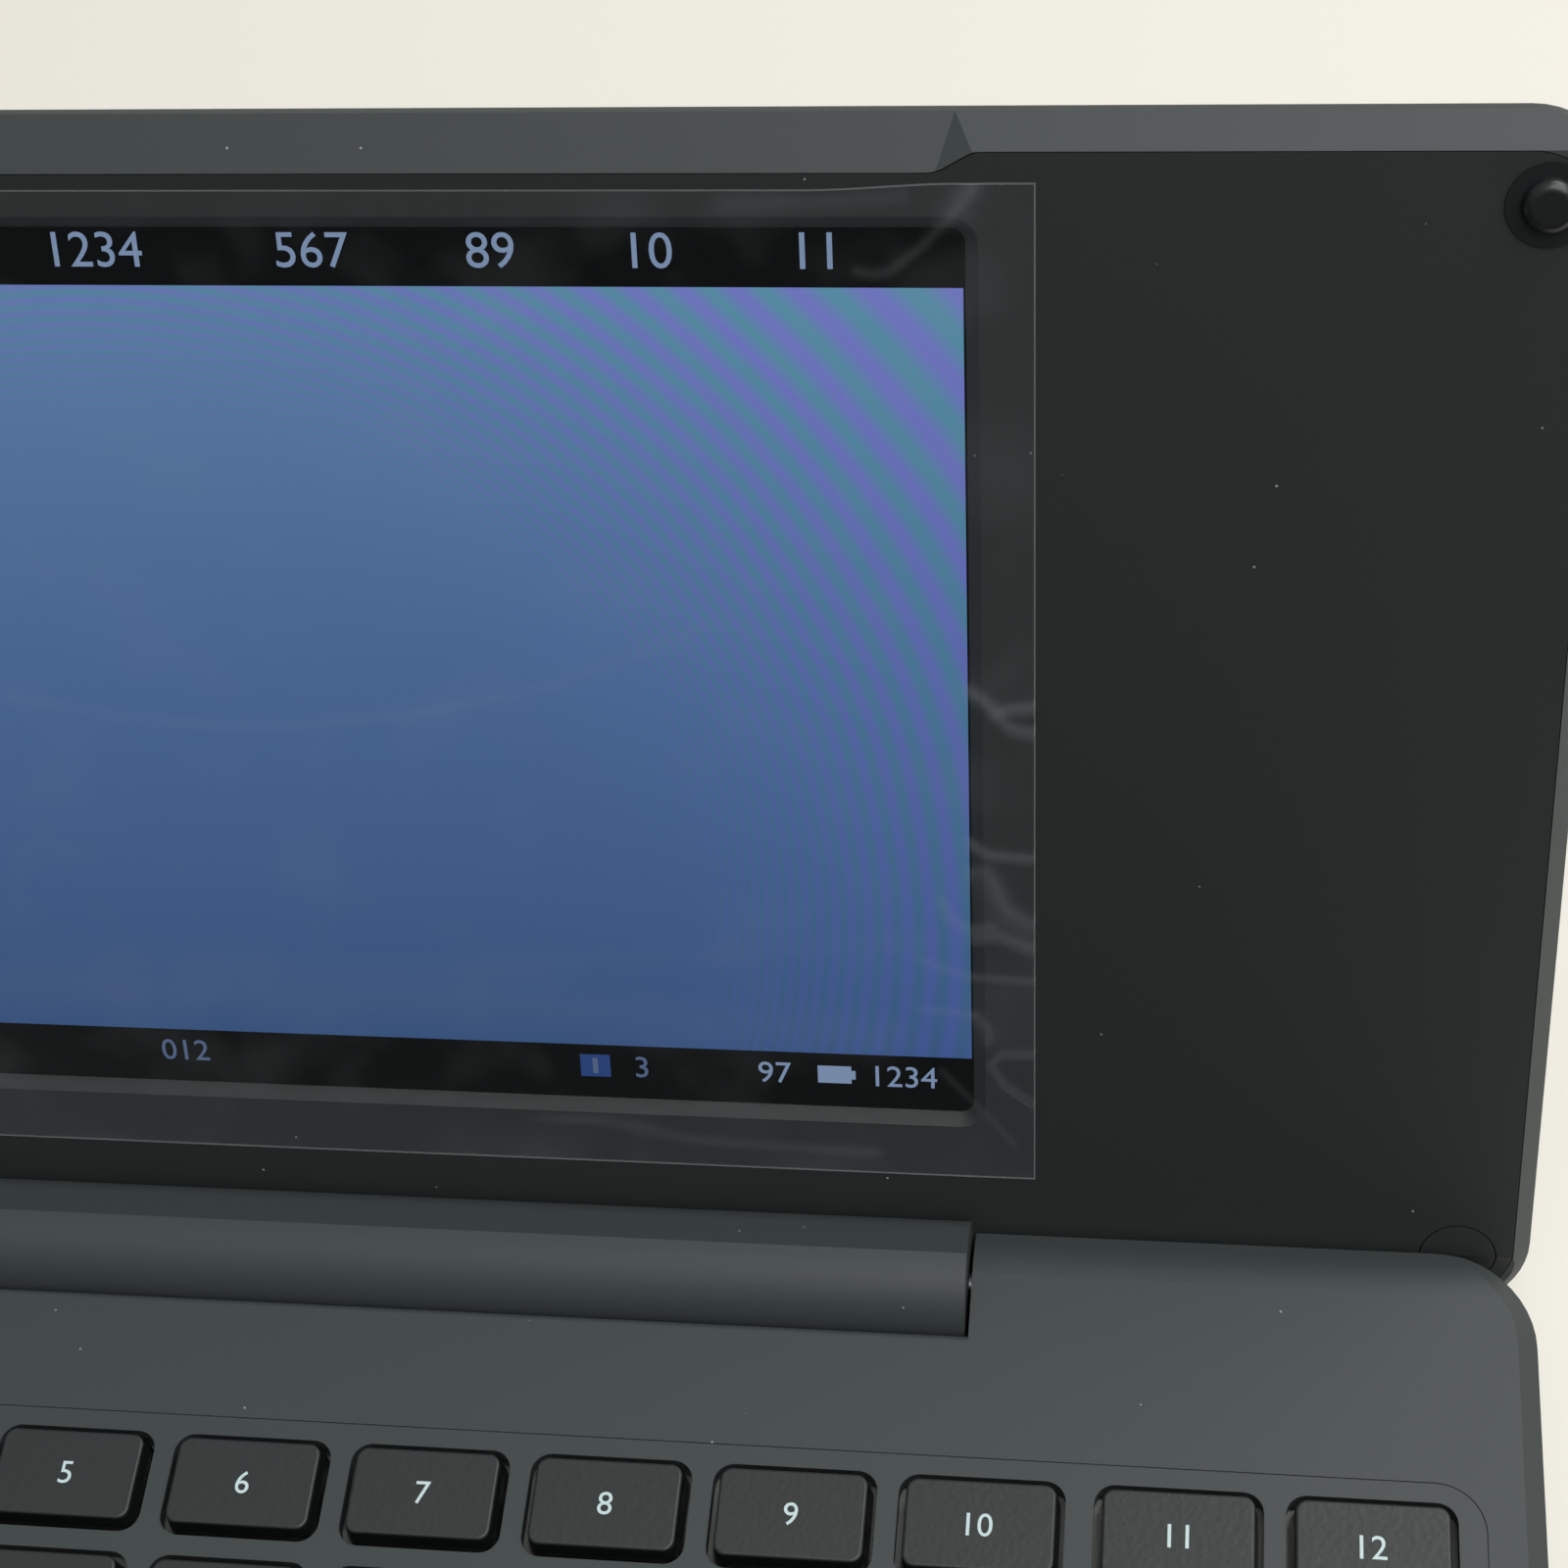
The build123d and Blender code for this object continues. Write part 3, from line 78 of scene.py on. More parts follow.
def linear(hex_colour: str) -> Colour:
    """Turns an sRGB hex colour into the linear RGBA that Blender's sockets take.

    Args:
        hex_colour: six hex digits, such as "2f3433".

    Returns:
        Linear red, green, blue and an alpha of 1.
    """
    values = [int(hex_colour[i : i + 2], 16) / 255 for i in (0, 2, 4)]
    red, green, blue = [
        v / 12.92 if v <= 0.04045 else ((v + 0.055) / 1.055) ** 2.4 for v in values
    ]
    return red, green, blue, 1.0


def add_node(
    tree: bpy.types.NodeTree,
    kind: str,
    settings: dict | None = None,
    **inputs: object,
) -> bpy.types.Node:
    """Adds one node, with its settings and its inputs.

    Args:
        tree: the material's or world's node tree.
        kind: Blender's node type name.
        settings: attributes of the node, such as its operation.
        **inputs: values or output sockets by input name, with _ for a space,
            or "in_0" for an input by its number.

    Returns:
        The new node.
    """
    node = tree.nodes.new(kind)
    for name, value in (settings or {}).items():
        setattr(node, name, value)
    for name, value in inputs.items():
        key = int(name[3:]) if name.startswith("in_") else name.replace("_", " ")
        if isinstance(value, bpy.types.NodeSocket):
            tree.links.new(value, node.inputs[key])
        else:
            node.inputs[key].default_value = value
    return node


def new_material(name: str) -> tuple[bpy.types.Material, bpy.types.NodeTree]:
    """Makes an empty node material."""
    material = bpy.data.materials.new(name)
    material.use_nodes = True
    material.node_tree.nodes.clear()
    return material, material.node_tree


def surface(tree: bpy.types.NodeTree, shader: bpy.types.Node) -> None:
    """Links a shader to the material's output."""
    output = tree.nodes.new("ShaderNodeOutputMaterial")
    tree.links.new(shader.outputs[0], output.inputs["Surface"])


def object_place(tree: bpy.types.NodeTree) -> bpy.types.NodeSocket:
    """The place on the piece itself, in metres, so that a pattern rides on it."""
    return add_node(tree, "ShaderNodeTexCoord").outputs["Object"]


def computed(
    tree: bpy.types.NodeTree, operation: str, *values: float | bpy.types.NodeSocket
) -> bpy.types.NodeSocket:
    """One step of arithmetic.

    Args:
        tree: the material's node tree.
        operation: Blender's name of the step.
        *values: its numbers or output sockets, in order.

    Returns:
        The result.
    """
    inputs = {f"in_{k}": value for k, value in enumerate(values)}
    node = add_node(tree, "ShaderNodeMath", {"operation": operation}, **inputs)
    return node.outputs[0]


def blended(
    tree: bpy.types.NodeTree,
    share: bpy.types.NodeSocket,
    start: Colour | bpy.types.NodeSocket,
    end: Colour | bpy.types.NodeSocket,
) -> bpy.types.NodeSocket:
    """The colour at a share of the way from one colour to another."""
    node = add_node(
        tree, "ShaderNodeMix", {"data_type": "RGBA"}, in_0=share, in_6=start, in_7=end
    )
    return node.outputs[2]


def ranged(
    tree: bpy.types.NodeTree,
    value: bpy.types.NodeSocket,
    start: float,
    end: float,
    low: float = 0.0,
    high: float = 1.0,
    curve: str = "LINEAR",
) -> bpy.types.NodeSocket:
    """Turns a span of values into another, held between its ends.

    Args:
        tree: the material's node tree.
        value: the value.
        start: the value that gives low.
        end: the value that gives high.
        low: the result at start.
        high: the result at end.
        curve: Blender's name of the way between them.

    Returns:
        The result.
    """
    node = add_node(
        tree,
        "ShaderNodeMapRange",
        {"interpolation_type": curve},
        Value=value,
        From_Min=start,
        From_Max=end,
        To_Min=low,
        To_Max=high,
    )
    return node.outputs["Result"]


def clouds(
    tree: bpy.types.NodeTree,
    place: bpy.types.NodeSocket,
    width_mm: float,
    detail: float,
    roughness: float = 0.5,
) -> bpy.types.NodeSocket:
    """Noise of a real width.

    Args:
        tree: the material's node tree.
        place: where on the piece.
        width_mm: width of its widest swell.
        detail: how many finer layers it has.
        roughness: how strong the finer layers are.

    Returns:
        The noise, from 0 to 1.
    """
    node = add_node(
        tree,
        "ShaderNodeTexNoise",
        Vector=place,
        Scale=1 / (width_mm * MM),
        Detail=detail,
        Roughness=roughness,
    )
    return node.outputs["Fac"]


def cell_distance(
    tree: bpy.types.NodeTree, width_mm: float, feature: str
) -> bpy.types.NodeSocket:
    """The distance to the middle of a cell, in cells of a real width.

    Args:
        tree: the material's node tree.
        width_mm: width of a cell.
        feature: Blender's name of the kind of distance.

    Returns:
        The distance, as a share of the cell's width.
    """
    node = add_node(
        tree,
        "ShaderNodeTexVoronoi",
        {"feature": feature},
        Vector=object_place(tree),
        Scale=1 / (width_mm * MM),
    )
    return node.outputs["Distance"]


@dataclass(frozen=True)
class PlainFinish:
    """A finish of one colour over a fine grain, such as moulded or painted plastic."""

    name: str
    colour: str
    roughness: float
    metallic: float = 0.0
    ior: float = 1.5
    grain_mm: float = 0.0
    grain_depth_mm: float = 0.02
    grain_strength: float = 0.25
    dust_mm: float = 0.0
    dust_speck_mm: float = 0.12
    dust_colour: str = "8f9592"

    def material(self) -> bpy.types.Material:
        """Builds the material."""
        material, tree = new_material(self.name)
        inputs: dict[str, object] = {
            "Base_Color": linear(self.colour),
            "Roughness": self.roughness,
            "Metallic": self.metallic,
            "IOR": self.ior,
        }
        if self.grain_mm:
            inputs["Normal"] = self.grain(tree)
        if self.dust_mm:
            inputs["Base_Color"] = self.dusty_colour(tree)
        surface(tree, add_node(tree, "ShaderNodeBsdfPrincipled", **inputs))
        return material

    def grain(self, tree: bpy.types.NodeTree) -> bpy.types.NodeSocket:
        """The normal of a surface with fine grains of a real width."""
        place = object_place(tree)
        bump = add_node(
            tree,
            "ShaderNodeBump",
            Strength=self.grain_strength,
            Distance=self.grain_depth_mm * MM,
            Height=clouds(tree, place, self.grain_mm, GRAIN_DETAIL, GRAIN_ROUGHNESS),
        )
        return bump.outputs["Normal"]

    def dusty_colour(self, tree: bpy.types.NodeTree) -> bpy.types.NodeSocket:
        """The finish's colour with a few tiny pale specks of dust."""
        distance = cell_distance(tree, self.dust_mm, "F1")
        speck = computed(
            tree, "LESS_THAN", distance, self.dust_speck_mm / self.dust_mm
        )
        return blended(tree, speck, linear(self.colour), linear(self.dust_colour))


@dataclass(frozen=True)
class KeyFinish:
    """Moulded ABS key: a leather-grained satin top and polished side walls.

    Attributes:
        wall_slope: upward part of the normal, up to which a face is all wall.
        top_slope: upward part of the normal, from which a face is all top.
    """

    name: str = "moulded_abs_key"
    top: str = "2a2d2c"
    wall: str = "141716"
    top_roughness: float = 0.44
    wall_roughness: float = 0.12
    wall_slope: float = 0.35
    top_slope: float = 0.75
    grain_mm: float = 0.55
    grain_depth_mm: float = 0.05
    grain_strength: float = 0.45

    def material(self) -> bpy.types.Material:
        """Builds the material; the top and the walls are told apart by their slope."""
        material, tree = new_material(self.name)
        place = add_node(tree, "ShaderNodeTexCoord")
        split = add_node(tree, "ShaderNodeSeparateXYZ", Vector=place.outputs["Normal"])
        on_top = ranged(tree, split.outputs["Z"], self.wall_slope, self.top_slope)
        bump = add_node(
            tree,
            "ShaderNodeBump",
            {"invert": True},
            Strength=computed(tree, "MULTIPLY", on_top, self.grain_strength),
            Distance=self.grain_depth_mm * MM,
            Height=cell_distance(tree, self.grain_mm, "SMOOTH_F1"),
        )
        shader = add_node(
            tree,
            "ShaderNodeBsdfPrincipled",
            Base_Color=blended(tree, on_top, linear(self.wall), linear(self.top)),
            Roughness=ranged(
                tree, on_top, 0, 1, self.wall_roughness, self.top_roughness
            ),
            Normal=bump.outputs["Normal"],
        )
        surface(tree, shader)
        return material


@dataclass(frozen=True)
class FilmFinish:
    """Clear polyethylene cover film, milky where it is creased; the crease haze is
    partly a painted highlight, and faint patches are painted reflections.

    Attributes:
        haze_share: how milky it is where it is seen straight on.
        mirror_share: how much of its mirror shine shows.
        patch_share: how strong its faint patches of painted reflection are at most.
        patch_span: noise at which a patch starts and at which it is at its full.
    """

    name: str = "clear_polyethylene_film"
    colour: str = "d5dcde"
    haze_share: float = 0.001
    mirror_share: float = 0.15
    metallic: float = 0.3
    roughness: float = 0.12
    ior: float = 1.5
    patch_share: float = 0.02
    patch_mm: float = 9.0
    patch_detail: float = 2.0
    patch_span: tuple[float, float] = (0.5, 0.8)

    def material(self) -> bpy.types.Material:
        """Builds the material."""
        material, tree = new_material(self.name)
        clear = add_node(tree, "ShaderNodeBsdfTransparent")
        shine = add_node(
            tree,
            "ShaderNodeBsdfPrincipled",
            Base_Color=linear(self.colour),
            Metallic=self.metallic,
            Roughness=self.roughness,
        )
        mirror = add_node(tree, "ShaderNodeFresnel", IOR=self.ior).outputs[0]
        # How milky each crease is; this milkiness partly paints the crease's highlight.
        crease_haze_and_highlight = add_node(
            tree,
            "ShaderNodeAttribute",
            {"attribute_type": "GEOMETRY", "attribute_name": HAZE_AND_HIGHLIGHT_ATTRIBUTE},
        )
        # Faint patches of painted reflection, made milky through noise.
        noise = clouds(tree, object_place(tree), self.patch_mm, self.patch_detail)
        painted_reflection_patches = ranged(tree, noise, *self.patch_span, high=self.patch_share)
        share = computed(
            tree, "MULTIPLY_ADD", mirror, self.mirror_share, self.haze_share
        )
        milky_and_highlight = computed(tree, "ADD", share, crease_haze_and_highlight.outputs["Fac"])
        mixed = add_node(
            tree,
            "ShaderNodeMixShader",
            Fac=computed(tree, "ADD", milky_and_highlight, painted_reflection_patches),
            in_1=clear.outputs[0],
            in_2=shine.outputs[0],
        )
        surface(tree, mixed)
        return material


class Finish(Enum):
    """The plain finishes of this object."""

    # Soft-touch paint on ABS is satin, with a faint orange peel.
    CASE_PAINT = PlainFinish(
        "soft_touch_paint", "393f3f", 0.52, grain_mm=0.35, dust_mm=4.4
    )
    # The bezel is moulded in a darker, spark-eroded ABS, so it shows hardly any shine.
    BEZEL = PlainFinish(
        "spark_eroded_abs", "232827", 0.55, grain_mm=0.3, dust_mm=4.8
    )
    PANEL = PlainFinish("lcd_glass", "050607", 0.3, ior=1.15)
    RUBBER = PlainFinish(
        "moulded_rubber", "191c1d", 0.32, grain_mm=0.6, grain_depth_mm=0.08
    )
    STEEL = PlainFinish("pressed_steel", "8d9092", 0.35, metallic=1.0)
    BOARD = PlainFinish("solder_mask", "1d4a33", 0.4)
    CHIP = PlainFinish("epoxy_moulding", "141416", 0.6)
    MEMBRANE = PlainFinish("polyester_sheet", "b8bcb4", 0.35)
    DOME = PlainFinish("silicone_rubber", "a9aaa4", 0.6)
    LINK = PlainFinish("acetal_link", "d8d8d2", 0.45)
    BATTERY = PlainFinish("shrink_wrap", "2a2c33", 0.3)
    LAMP = PlainFinish("clear_acrylic_lamp", "7fb6a0", 0.15)
    # Pad-printed legends stand light on the keys.
    LEGEND = PlainFinish("pad_printed_ink", "c5d8d8", 0.6)

    def material(self) -> bpy.types.Material:
        """The material of this finish, made once."""
        made = bpy.data.materials.get(self.value.name)
        return made or self.value.material()


NODE_FINISHES: dict[str, Finish] = {
    "bottom_case": Finish.CASE_PAINT,
    "deck_cover": Finish.CASE_PAINT,
    "hinge_barrel": Finish.CASE_PAINT,
    "lid_back_cover": Finish.CASE_PAINT,
    "power_button": Finish.CASE_PAINT,
    "lid_front_frame": Finish.BEZEL,
    "lid_screw_caps": Finish.BEZEL,
    "screen_panel": Finish.PANEL,
    "lid_bumpers": Finish.RUBBER,
    "rubber_feet": Finish.RUBBER,
    "keyboard_plate": Finish.STEEL,
    "usb_socket": Finish.STEEL,
    "card_socket": Finish.STEEL,
    "case_screws": Finish.STEEL,
    "hinge_brackets": Finish.STEEL,
    "hinge_pins": Finish.STEEL,
    "hinge_arms": Finish.STEEL,
    "lid_screws": Finish.STEEL,
    "main_board": Finish.BOARD,
    "panel_board": Finish.BOARD,
    "board_chips": Finish.CHIP,
    "keyboard_membrane": Finish.MEMBRANE,
    "keyboard_ribbon": Finish.MEMBRANE,
    "rubber_domes": Finish.DOME,
    "key_links": Finish.LINK,
    "battery_pack": Finish.BATTERY,
    "power_lamp": Finish.LAMP,
}


def deselect_all() -> None:
    """Leaves nothing selected, so that an operator acts only on what is chosen next."""
    if bpy.context.object and bpy.context.object.mode != "OBJECT":
        bpy.ops.object.mode_set(mode="OBJECT")
    bpy.ops.object.select_all(action="DESELECT")


def assign(piece: bpy.types.Object, material: bpy.types.Material) -> None:
    """Gives a piece one material in place of all it had."""
    piece.data.materials.clear()
    piece.data.materials.append(material)


@dataclass
class LidPlace:
    """The lid's own directions, worked out from its hinge.

    Attributes:
        hinge: a point on the hinge axis, in metres.
        face_offset: from the hinge axis to the plane of the lid's face.
        tilt: angle between the lid's face and the table, in degrees.
    """

    hinge: Vector
    face_offset: float = 4.6
    tilt: float = 62.4

    def matrix(self, out: float = 0.0) -> Matrix:
        """Maps a flat drawing (x, up the lid, out of its face, in metres) onto the lid.

        Args:
            out: height above the lid's face, in millimetres.

        Returns:
            The 4x4 matrix.
        """
        turn = Matrix.Rotation(math.radians(self.tilt), 4, "X")
        rise = Matrix.Translation((0, 0, (out - self.face_offset) * MM))
        return Matrix.Translation(self.hinge) @ turn @ rise


@dataclass
class DisplayPicture:
    """The lit part of the display: a blue field between two bars of generic marks.

    Attributes:
        bottom: the field's lower edge, up the lid from the hinge axis.
        top: the field's upper edge.
        panel_depth: how far the panel's face stands out of the lid's face.
        menu_groups: the upper bar's digits, and the middle of each group.
        status_groups: the lower bar's lit digits.
        dim_status_groups: the lower bar's dim digits.
        battery_cap: width of the battery sign's cap.
        sign_bar: size of the dim bar on the small sign.
        middle_share: how far up the field its middle colour is.
        ring_centre: the place that the rings run round, along the hinge and up the lid.
        ring_phase: the rings' phase at one metre from their centre.
        ring_power: the power of the distance that the phase goes with.
        ring_span: distances between which the rings fade in.
        ring_share: how strong the rings are at most.
        sway_mm: width of the soft swells that bend the rings.
        sway_phase: how far the swells bend them.
    """

    place: LidPlace
    half_width: float = 79.0
    bottom: float = 21.9
    top: float = 96.75
    panel_depth: float = -1.0
    thickness: float = 0.03
    menu_centre: float = 99.9
    menu_height: float = 3.1
    menu_groups: tuple[tuple[str, float], ...] = (
        ("12", -72.0),
        ("345", -51.0),
        ("678", -26.0),
        ("1234", 5.4),
        ("567", 24.2),
        ("89", 39.5),
        ("10", 53.2),
        ("11", 66.9),
    )
    status_centre: float = 19.55
    status_height: float = 2.3
    status_groups: tuple[tuple[str, float], ...] = (("97", 60.3), ("1234", 72.8))
    dim_status_groups: tuple[tuple[str, float], ...] = (("012", 2.4), ("3", 47.5))
    battery_x: float = 66.0
    battery_size: tuple[float, float] = (3.2, 1.9)
    battery_cap: float = 0.4
    sign_x: float = 43.0
    sign_size: tuple[float, float] = (2.9, 2.465)
    sign_bar: tuple[float, float] = (0.5, 1.7)
    low_colour: str = "344f79"
    middle_colour: str = "46648f"
    high_colour: str = "56759c"
    middle_share: float = 0.55
    ring_centre: tuple[float, float] = (3.0, 36.0)
    ring_phase: float = 0.306
    ring_power: float = -2.18
    ring_span: tuple[float, float] = (36.0, 88.0)
    ring_share: float = 0.7
    ring_teals: tuple[str, str] = ("34567e", "5290a0")
    ring_violets: tuple[str, str] = ("42549a", "7470c6")
    sway_mm: float = 28.0
    sway_detail: float = 1.0
    sway_phase: float = 5.0
    glass_colour: str = "05070a"
    glass_roughness: float = 0.3
    glass_ior: float = 1.15
    glyph_colour: str = "7588a6"
    dim_glyph_colour: str = "4c5c7c"
    sign_colour: str = "233c70"

    def light_up(
        self, tree: bpy.types.NodeTree, glow: Colour | bpy.types.NodeSocket
    ) -> None:
        """Gives a material the display's glass, lit from behind in one colour."""
        shader = add_node(
            tree,
            "ShaderNodeBsdfPrincipled",
            Base_Color=linear(self.glass_colour),
            Roughness=self.glass_roughness,
            IOR=self.glass_ior,
            Emission_Color=glow,
            Emission_Strength=1.0,
        )
        surface(tree, shader)

    def glyph_material(self, name: str, colour: str) -> bpy.types.Material:
        """Lit marks on the dark bars."""
        material, tree = new_material(name)
        self.light_up(tree, linear(colour))
        return material

    def field_material(self) -> bpy.types.Material:
        """A blue field, paler towards the top, with faint rings at one side."""
        material, tree = new_material("lit_lcd_blue")
        flat = self.place.matrix().inverted()
        laid = add_node(
            tree,
            "ShaderNodeMapping",
            {"vector_type": "POINT"},
            Vector=object_place(tree),
            Location=flat.translation,
            Rotation=flat.to_euler(),
        ).outputs[0]
        split = add_node(tree, "ShaderNodeSeparateXYZ", Vector=laid)
        height = ranged(tree, split.outputs["Y"], self.bottom * MM, self.top * MM)
        ramp = add_node(tree, "ShaderNodeValToRGB", Fac=height)
        ramp.color_ramp.elements[0].color = linear(self.low_colour)
        ramp.color_ramp.elements[1].color = linear(self.high_colour)
        middle = ramp.color_ramp.elements.new(self.middle_share)
        middle.color = linear(self.middle_colour)
        distance = add_node(
            tree,
            "ShaderNodeVectorMath",
            {"operation": "DISTANCE"},
            in_0=laid,
            in_1=Vector((*self.ring_centre, 0)) * MM,
        ).outputs["Value"]
        start, end = self.ring_span
        reach = ranged(
            tree,
            distance,
            start * MM,
            end * MM,
            high=self.ring_share,
            curve="SMOOTHSTEP",
        )
        rings = self.ring_colour(tree, laid, height, distance)
        self.light_up(tree, blended(tree, reach, ramp.outputs["Color"], rings))
        return material

    def ring_colour(
        self,
        tree: bpy.types.NodeTree,
        laid: bpy.types.NodeSocket,
        height: bpy.types.NodeSocket,
        distance: bpy.types.NodeSocket,
    ) -> bpy.types.NodeSocket:
        """The colour of the interference rings, which are wider further out.

        Args:
            tree: the field's node tree.
            laid: the place along the hinge and up the lid.
            height: the share of the way up the field.
            distance: the distance from the rings' centre, in metres.

        Returns:
            The colour.
        """
        swell = clouds(tree, laid, self.sway_mm, self.sway_detail)
        phase = computed(
            tree,
            "MULTIPLY_ADD",
            computed(tree, "POWER", distance, self.ring_power),
            self.ring_phase,
            computed(tree, "MULTIPLY", swell, self.sway_phase),
        )
        hue = ranged(tree, computed(tree, "SINE", phase), -1, 1)
        teal, violet = [
            blended(tree, height, linear(low), linear(high))
            for low, high in (self.ring_teals, self.ring_violets)
        ]
        return blended(tree, hue, teal, violet)

    def block(
        self,
        name: str,
        x: float,
        up: float,
        width: float,
        height: float,
        out: float = 0,
    ) -> bpy.types.Object:
        """A thin lit rectangle on the panel.

        Args:
            name: the piece's name.
            x: its centre along the hinge.
            up: its centre up the lid, from the hinge axis.
            width: its width.
            height: its height up the lid.
            out: the height of its back above the panel's face.

        Returns:
            The piece, in place on the lid.
        """
        deselect_all()
        bpy.ops.mesh.primitive_cube_add(size=1)
        piece = bpy.context.object
        piece.name = name
        size = Matrix.Diagonal((width * MM, height * MM, self.thickness * MM, 1))
        centre = Matrix.Translation((x * MM, up * MM, 0))
        level = self.panel_depth + out + self.thickness / 2
        piece.data.transform(self.place.matrix(level) @ centre @ size)
        return piece

    def digits(
        self, groups: tuple[tuple[str, float], ...], up: float, height: float
    ) -> list[bpy.types.Object]:
        """One bar's groups of digits, in place on the panel.

        Args:
            groups: each group's digits and its centre along the hinge.
            up: their middle, up the lid from the hinge axis.
            height: height of a digit.

        Returns:
            A piece for each group.
        """
        level = self.panel_depth + self.thickness / 2
        made = []
        for text, x in groups:
            mark = number_mark("mark", text, height, self.thickness, x, up)
            mark.data.transform(self.place.matrix(level))
            made.append(mark)
        return made

    def battery_sign(self) -> list[bpy.types.Object]:
        """A small battery sign: its body and its cap of half the height."""
        up, cap = self.status_centre, self.battery_cap
        width, height = self.battery_size
        cap_x = self.battery_x + (width + cap) / 2
        return [
            self.block("mark", self.battery_x, up, width, height),
            self.block("mark", cap_x, up, cap, height / 2),
        ]

    def build(self) -> list[bpy.types.Object]:
        """Builds the field, the marks of both bars and the two signs."""
        field_piece = self.block(
            "display_field",
            0,
            (self.bottom + self.top) / 2,
            2 * self.half_width,
            self.top - self.bottom,
        )
        assign(field_piece, self.field_material())
        up, height = self.status_centre, self.status_height
        marks = self.digits(self.menu_groups, self.menu_centre, self.menu_height)
        marks += self.digits(self.status_groups, up, height)
        whole = join(marks + self.battery_sign(), "display_marks")
        assign(whole, self.glyph_material("lit_lcd_marks", self.glyph_colour))
        dim = self.digits(self.dim_status_groups, up, height)
        dim.append(self.block("mark", self.sign_x, up, *self.sign_bar, self.thickness))
        dim_whole = join(dim, "display_dim_marks")
        dim_finish = self.glyph_material("dim_lcd_marks", self.dim_glyph_colour)
        assign(dim_whole, dim_finish)
        sign = self.block("display_sign", self.sign_x, up, *self.sign_size)
        assign(sign, self.glyph_material("lcd_sign", self.sign_colour))
        made = [field_piece, whole, dim_whole, sign]
        for piece in made:
            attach(piece, "lid")
        return made


def number_mark(
    name: str, text: str, height: float, thickness: float, x: float, y: float
) -> bpy.types.Object:
    """Plain digits as a thin mesh, centred at a place in the XY plane.

    Args:
        name: the piece's name.
        text: the digits.
        height: height of a digit.
        thickness: how thick the ink stands.
        x: centre of the digits along X.
        y: centre of the digits along Y.

    Returns:
        The mesh piece, at the origin, with its place in its mesh.
    """
    deselect_all()
    bpy.ops.object.text_add()
    mark = bpy.context.object
    mark.data.body = text
    mark.data.size = height * MM
    mark.data.extrude = thickness * MM / 2
    mark.data.resolution_u = DIGIT_CURVE_STEPS
    bpy.ops.object.convert(target="MESH")
    mark = bpy.context.object
    mark.name = name
    corners = [v.co for v in mark.data.vertices]
    low = Vector((min(c.x for c in corners), min(c.y for c in corners), 0))
    high = Vector((max(c.x for c in corners), max(c.y for c in corners), 0))
    scale = height * MM / (high.y - low.y)
    middle = (low + high) / 2
    mark.data.transform(
        Matrix.Translation((x * MM, y * MM, 0))
        @ Matrix.Diagonal((scale, scale, 1, 1))
        @ Matrix.Translation(-middle)
    )
    return mark


def join(pieces: list[bpy.types.Object], name: str) -> bpy.types.Object:
    """Joins pieces into one.

    Args:
        pieces: the pieces, with the first as the one that stays.
        name: the name of the whole.

    Returns:
        The joined piece.
    """
    deselect_all()
    for piece in pieces:
        piece.select_set(True)
    bpy.context.view_layer.objects.active = pieces[0]
    bpy.ops.object.join()
    pieces[0].name = name
    return pieces[0]


@dataclass
class KeyLegends:
    """Light printed numbers on the keys, each riding on its own key."""

    height: float = 2.15
    ink: float = 0.02
    function_marks: dict[str, str] = field(
        default_factory=lambda: {
            **{f"key_f{n}": str(n) for n in range(1, 11)},
            "key_insert": "11",
            "key_delete": "12",
        }
    )

    def build(self) -> list[bpy.types.Object]:
        """Builds a number on each key of the rear row."""
        made = []
        for node, text in self.function_marks.items():
            low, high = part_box(node)
            centre = (low + high) / 2 / MM
            mark = number_mark(
                f"legend_{node}", text, self.height, self.ink, centre.x, centre.y
            )
            rise = high.z + self.ink * MM / 2
            mark.data.transform(Matrix.Translation((0, 0, rise)))
            assign(mark, Finish.LEGEND.material())
            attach(mark, node)
            made.append(mark)
        return made


@dataclass(frozen=True)
class Crease:
    """A fold or bend in the film along a line; the milky haze on it is partly a painted
    highlight.

    Attributes:
        line: its points, each along the hinge and up the lid from the hinge axis.
        width: half its width.
        rise: how far it stands off the lid.
        haze: how milky the film is on it, with its painted highlight, from 0 to 1.
    """

    line: tuple[tuple[float, float], ...]
    width: float
    rise: float
    haze: float

    def share(self, x: float, up: float) -> float:
        """How much of the crease a place has: 1 on its line, falling off beside it."""
        best = math.inf
        for (x0, y0), (x1, y1) in zip(self.line, self.line[1:]):
            dx, dy = x1 - x0, y1 - y0
            along = ((x - x0) * dx + (up - y0) * dy) / (dx * dx + dy * dy)
            along = min(1.0, max(0.0, along))
            best = min(best, math.hypot(x - x0 - along * dx, up - y0 - along * dy))
        return math.exp(-((best / self.width) ** 2))


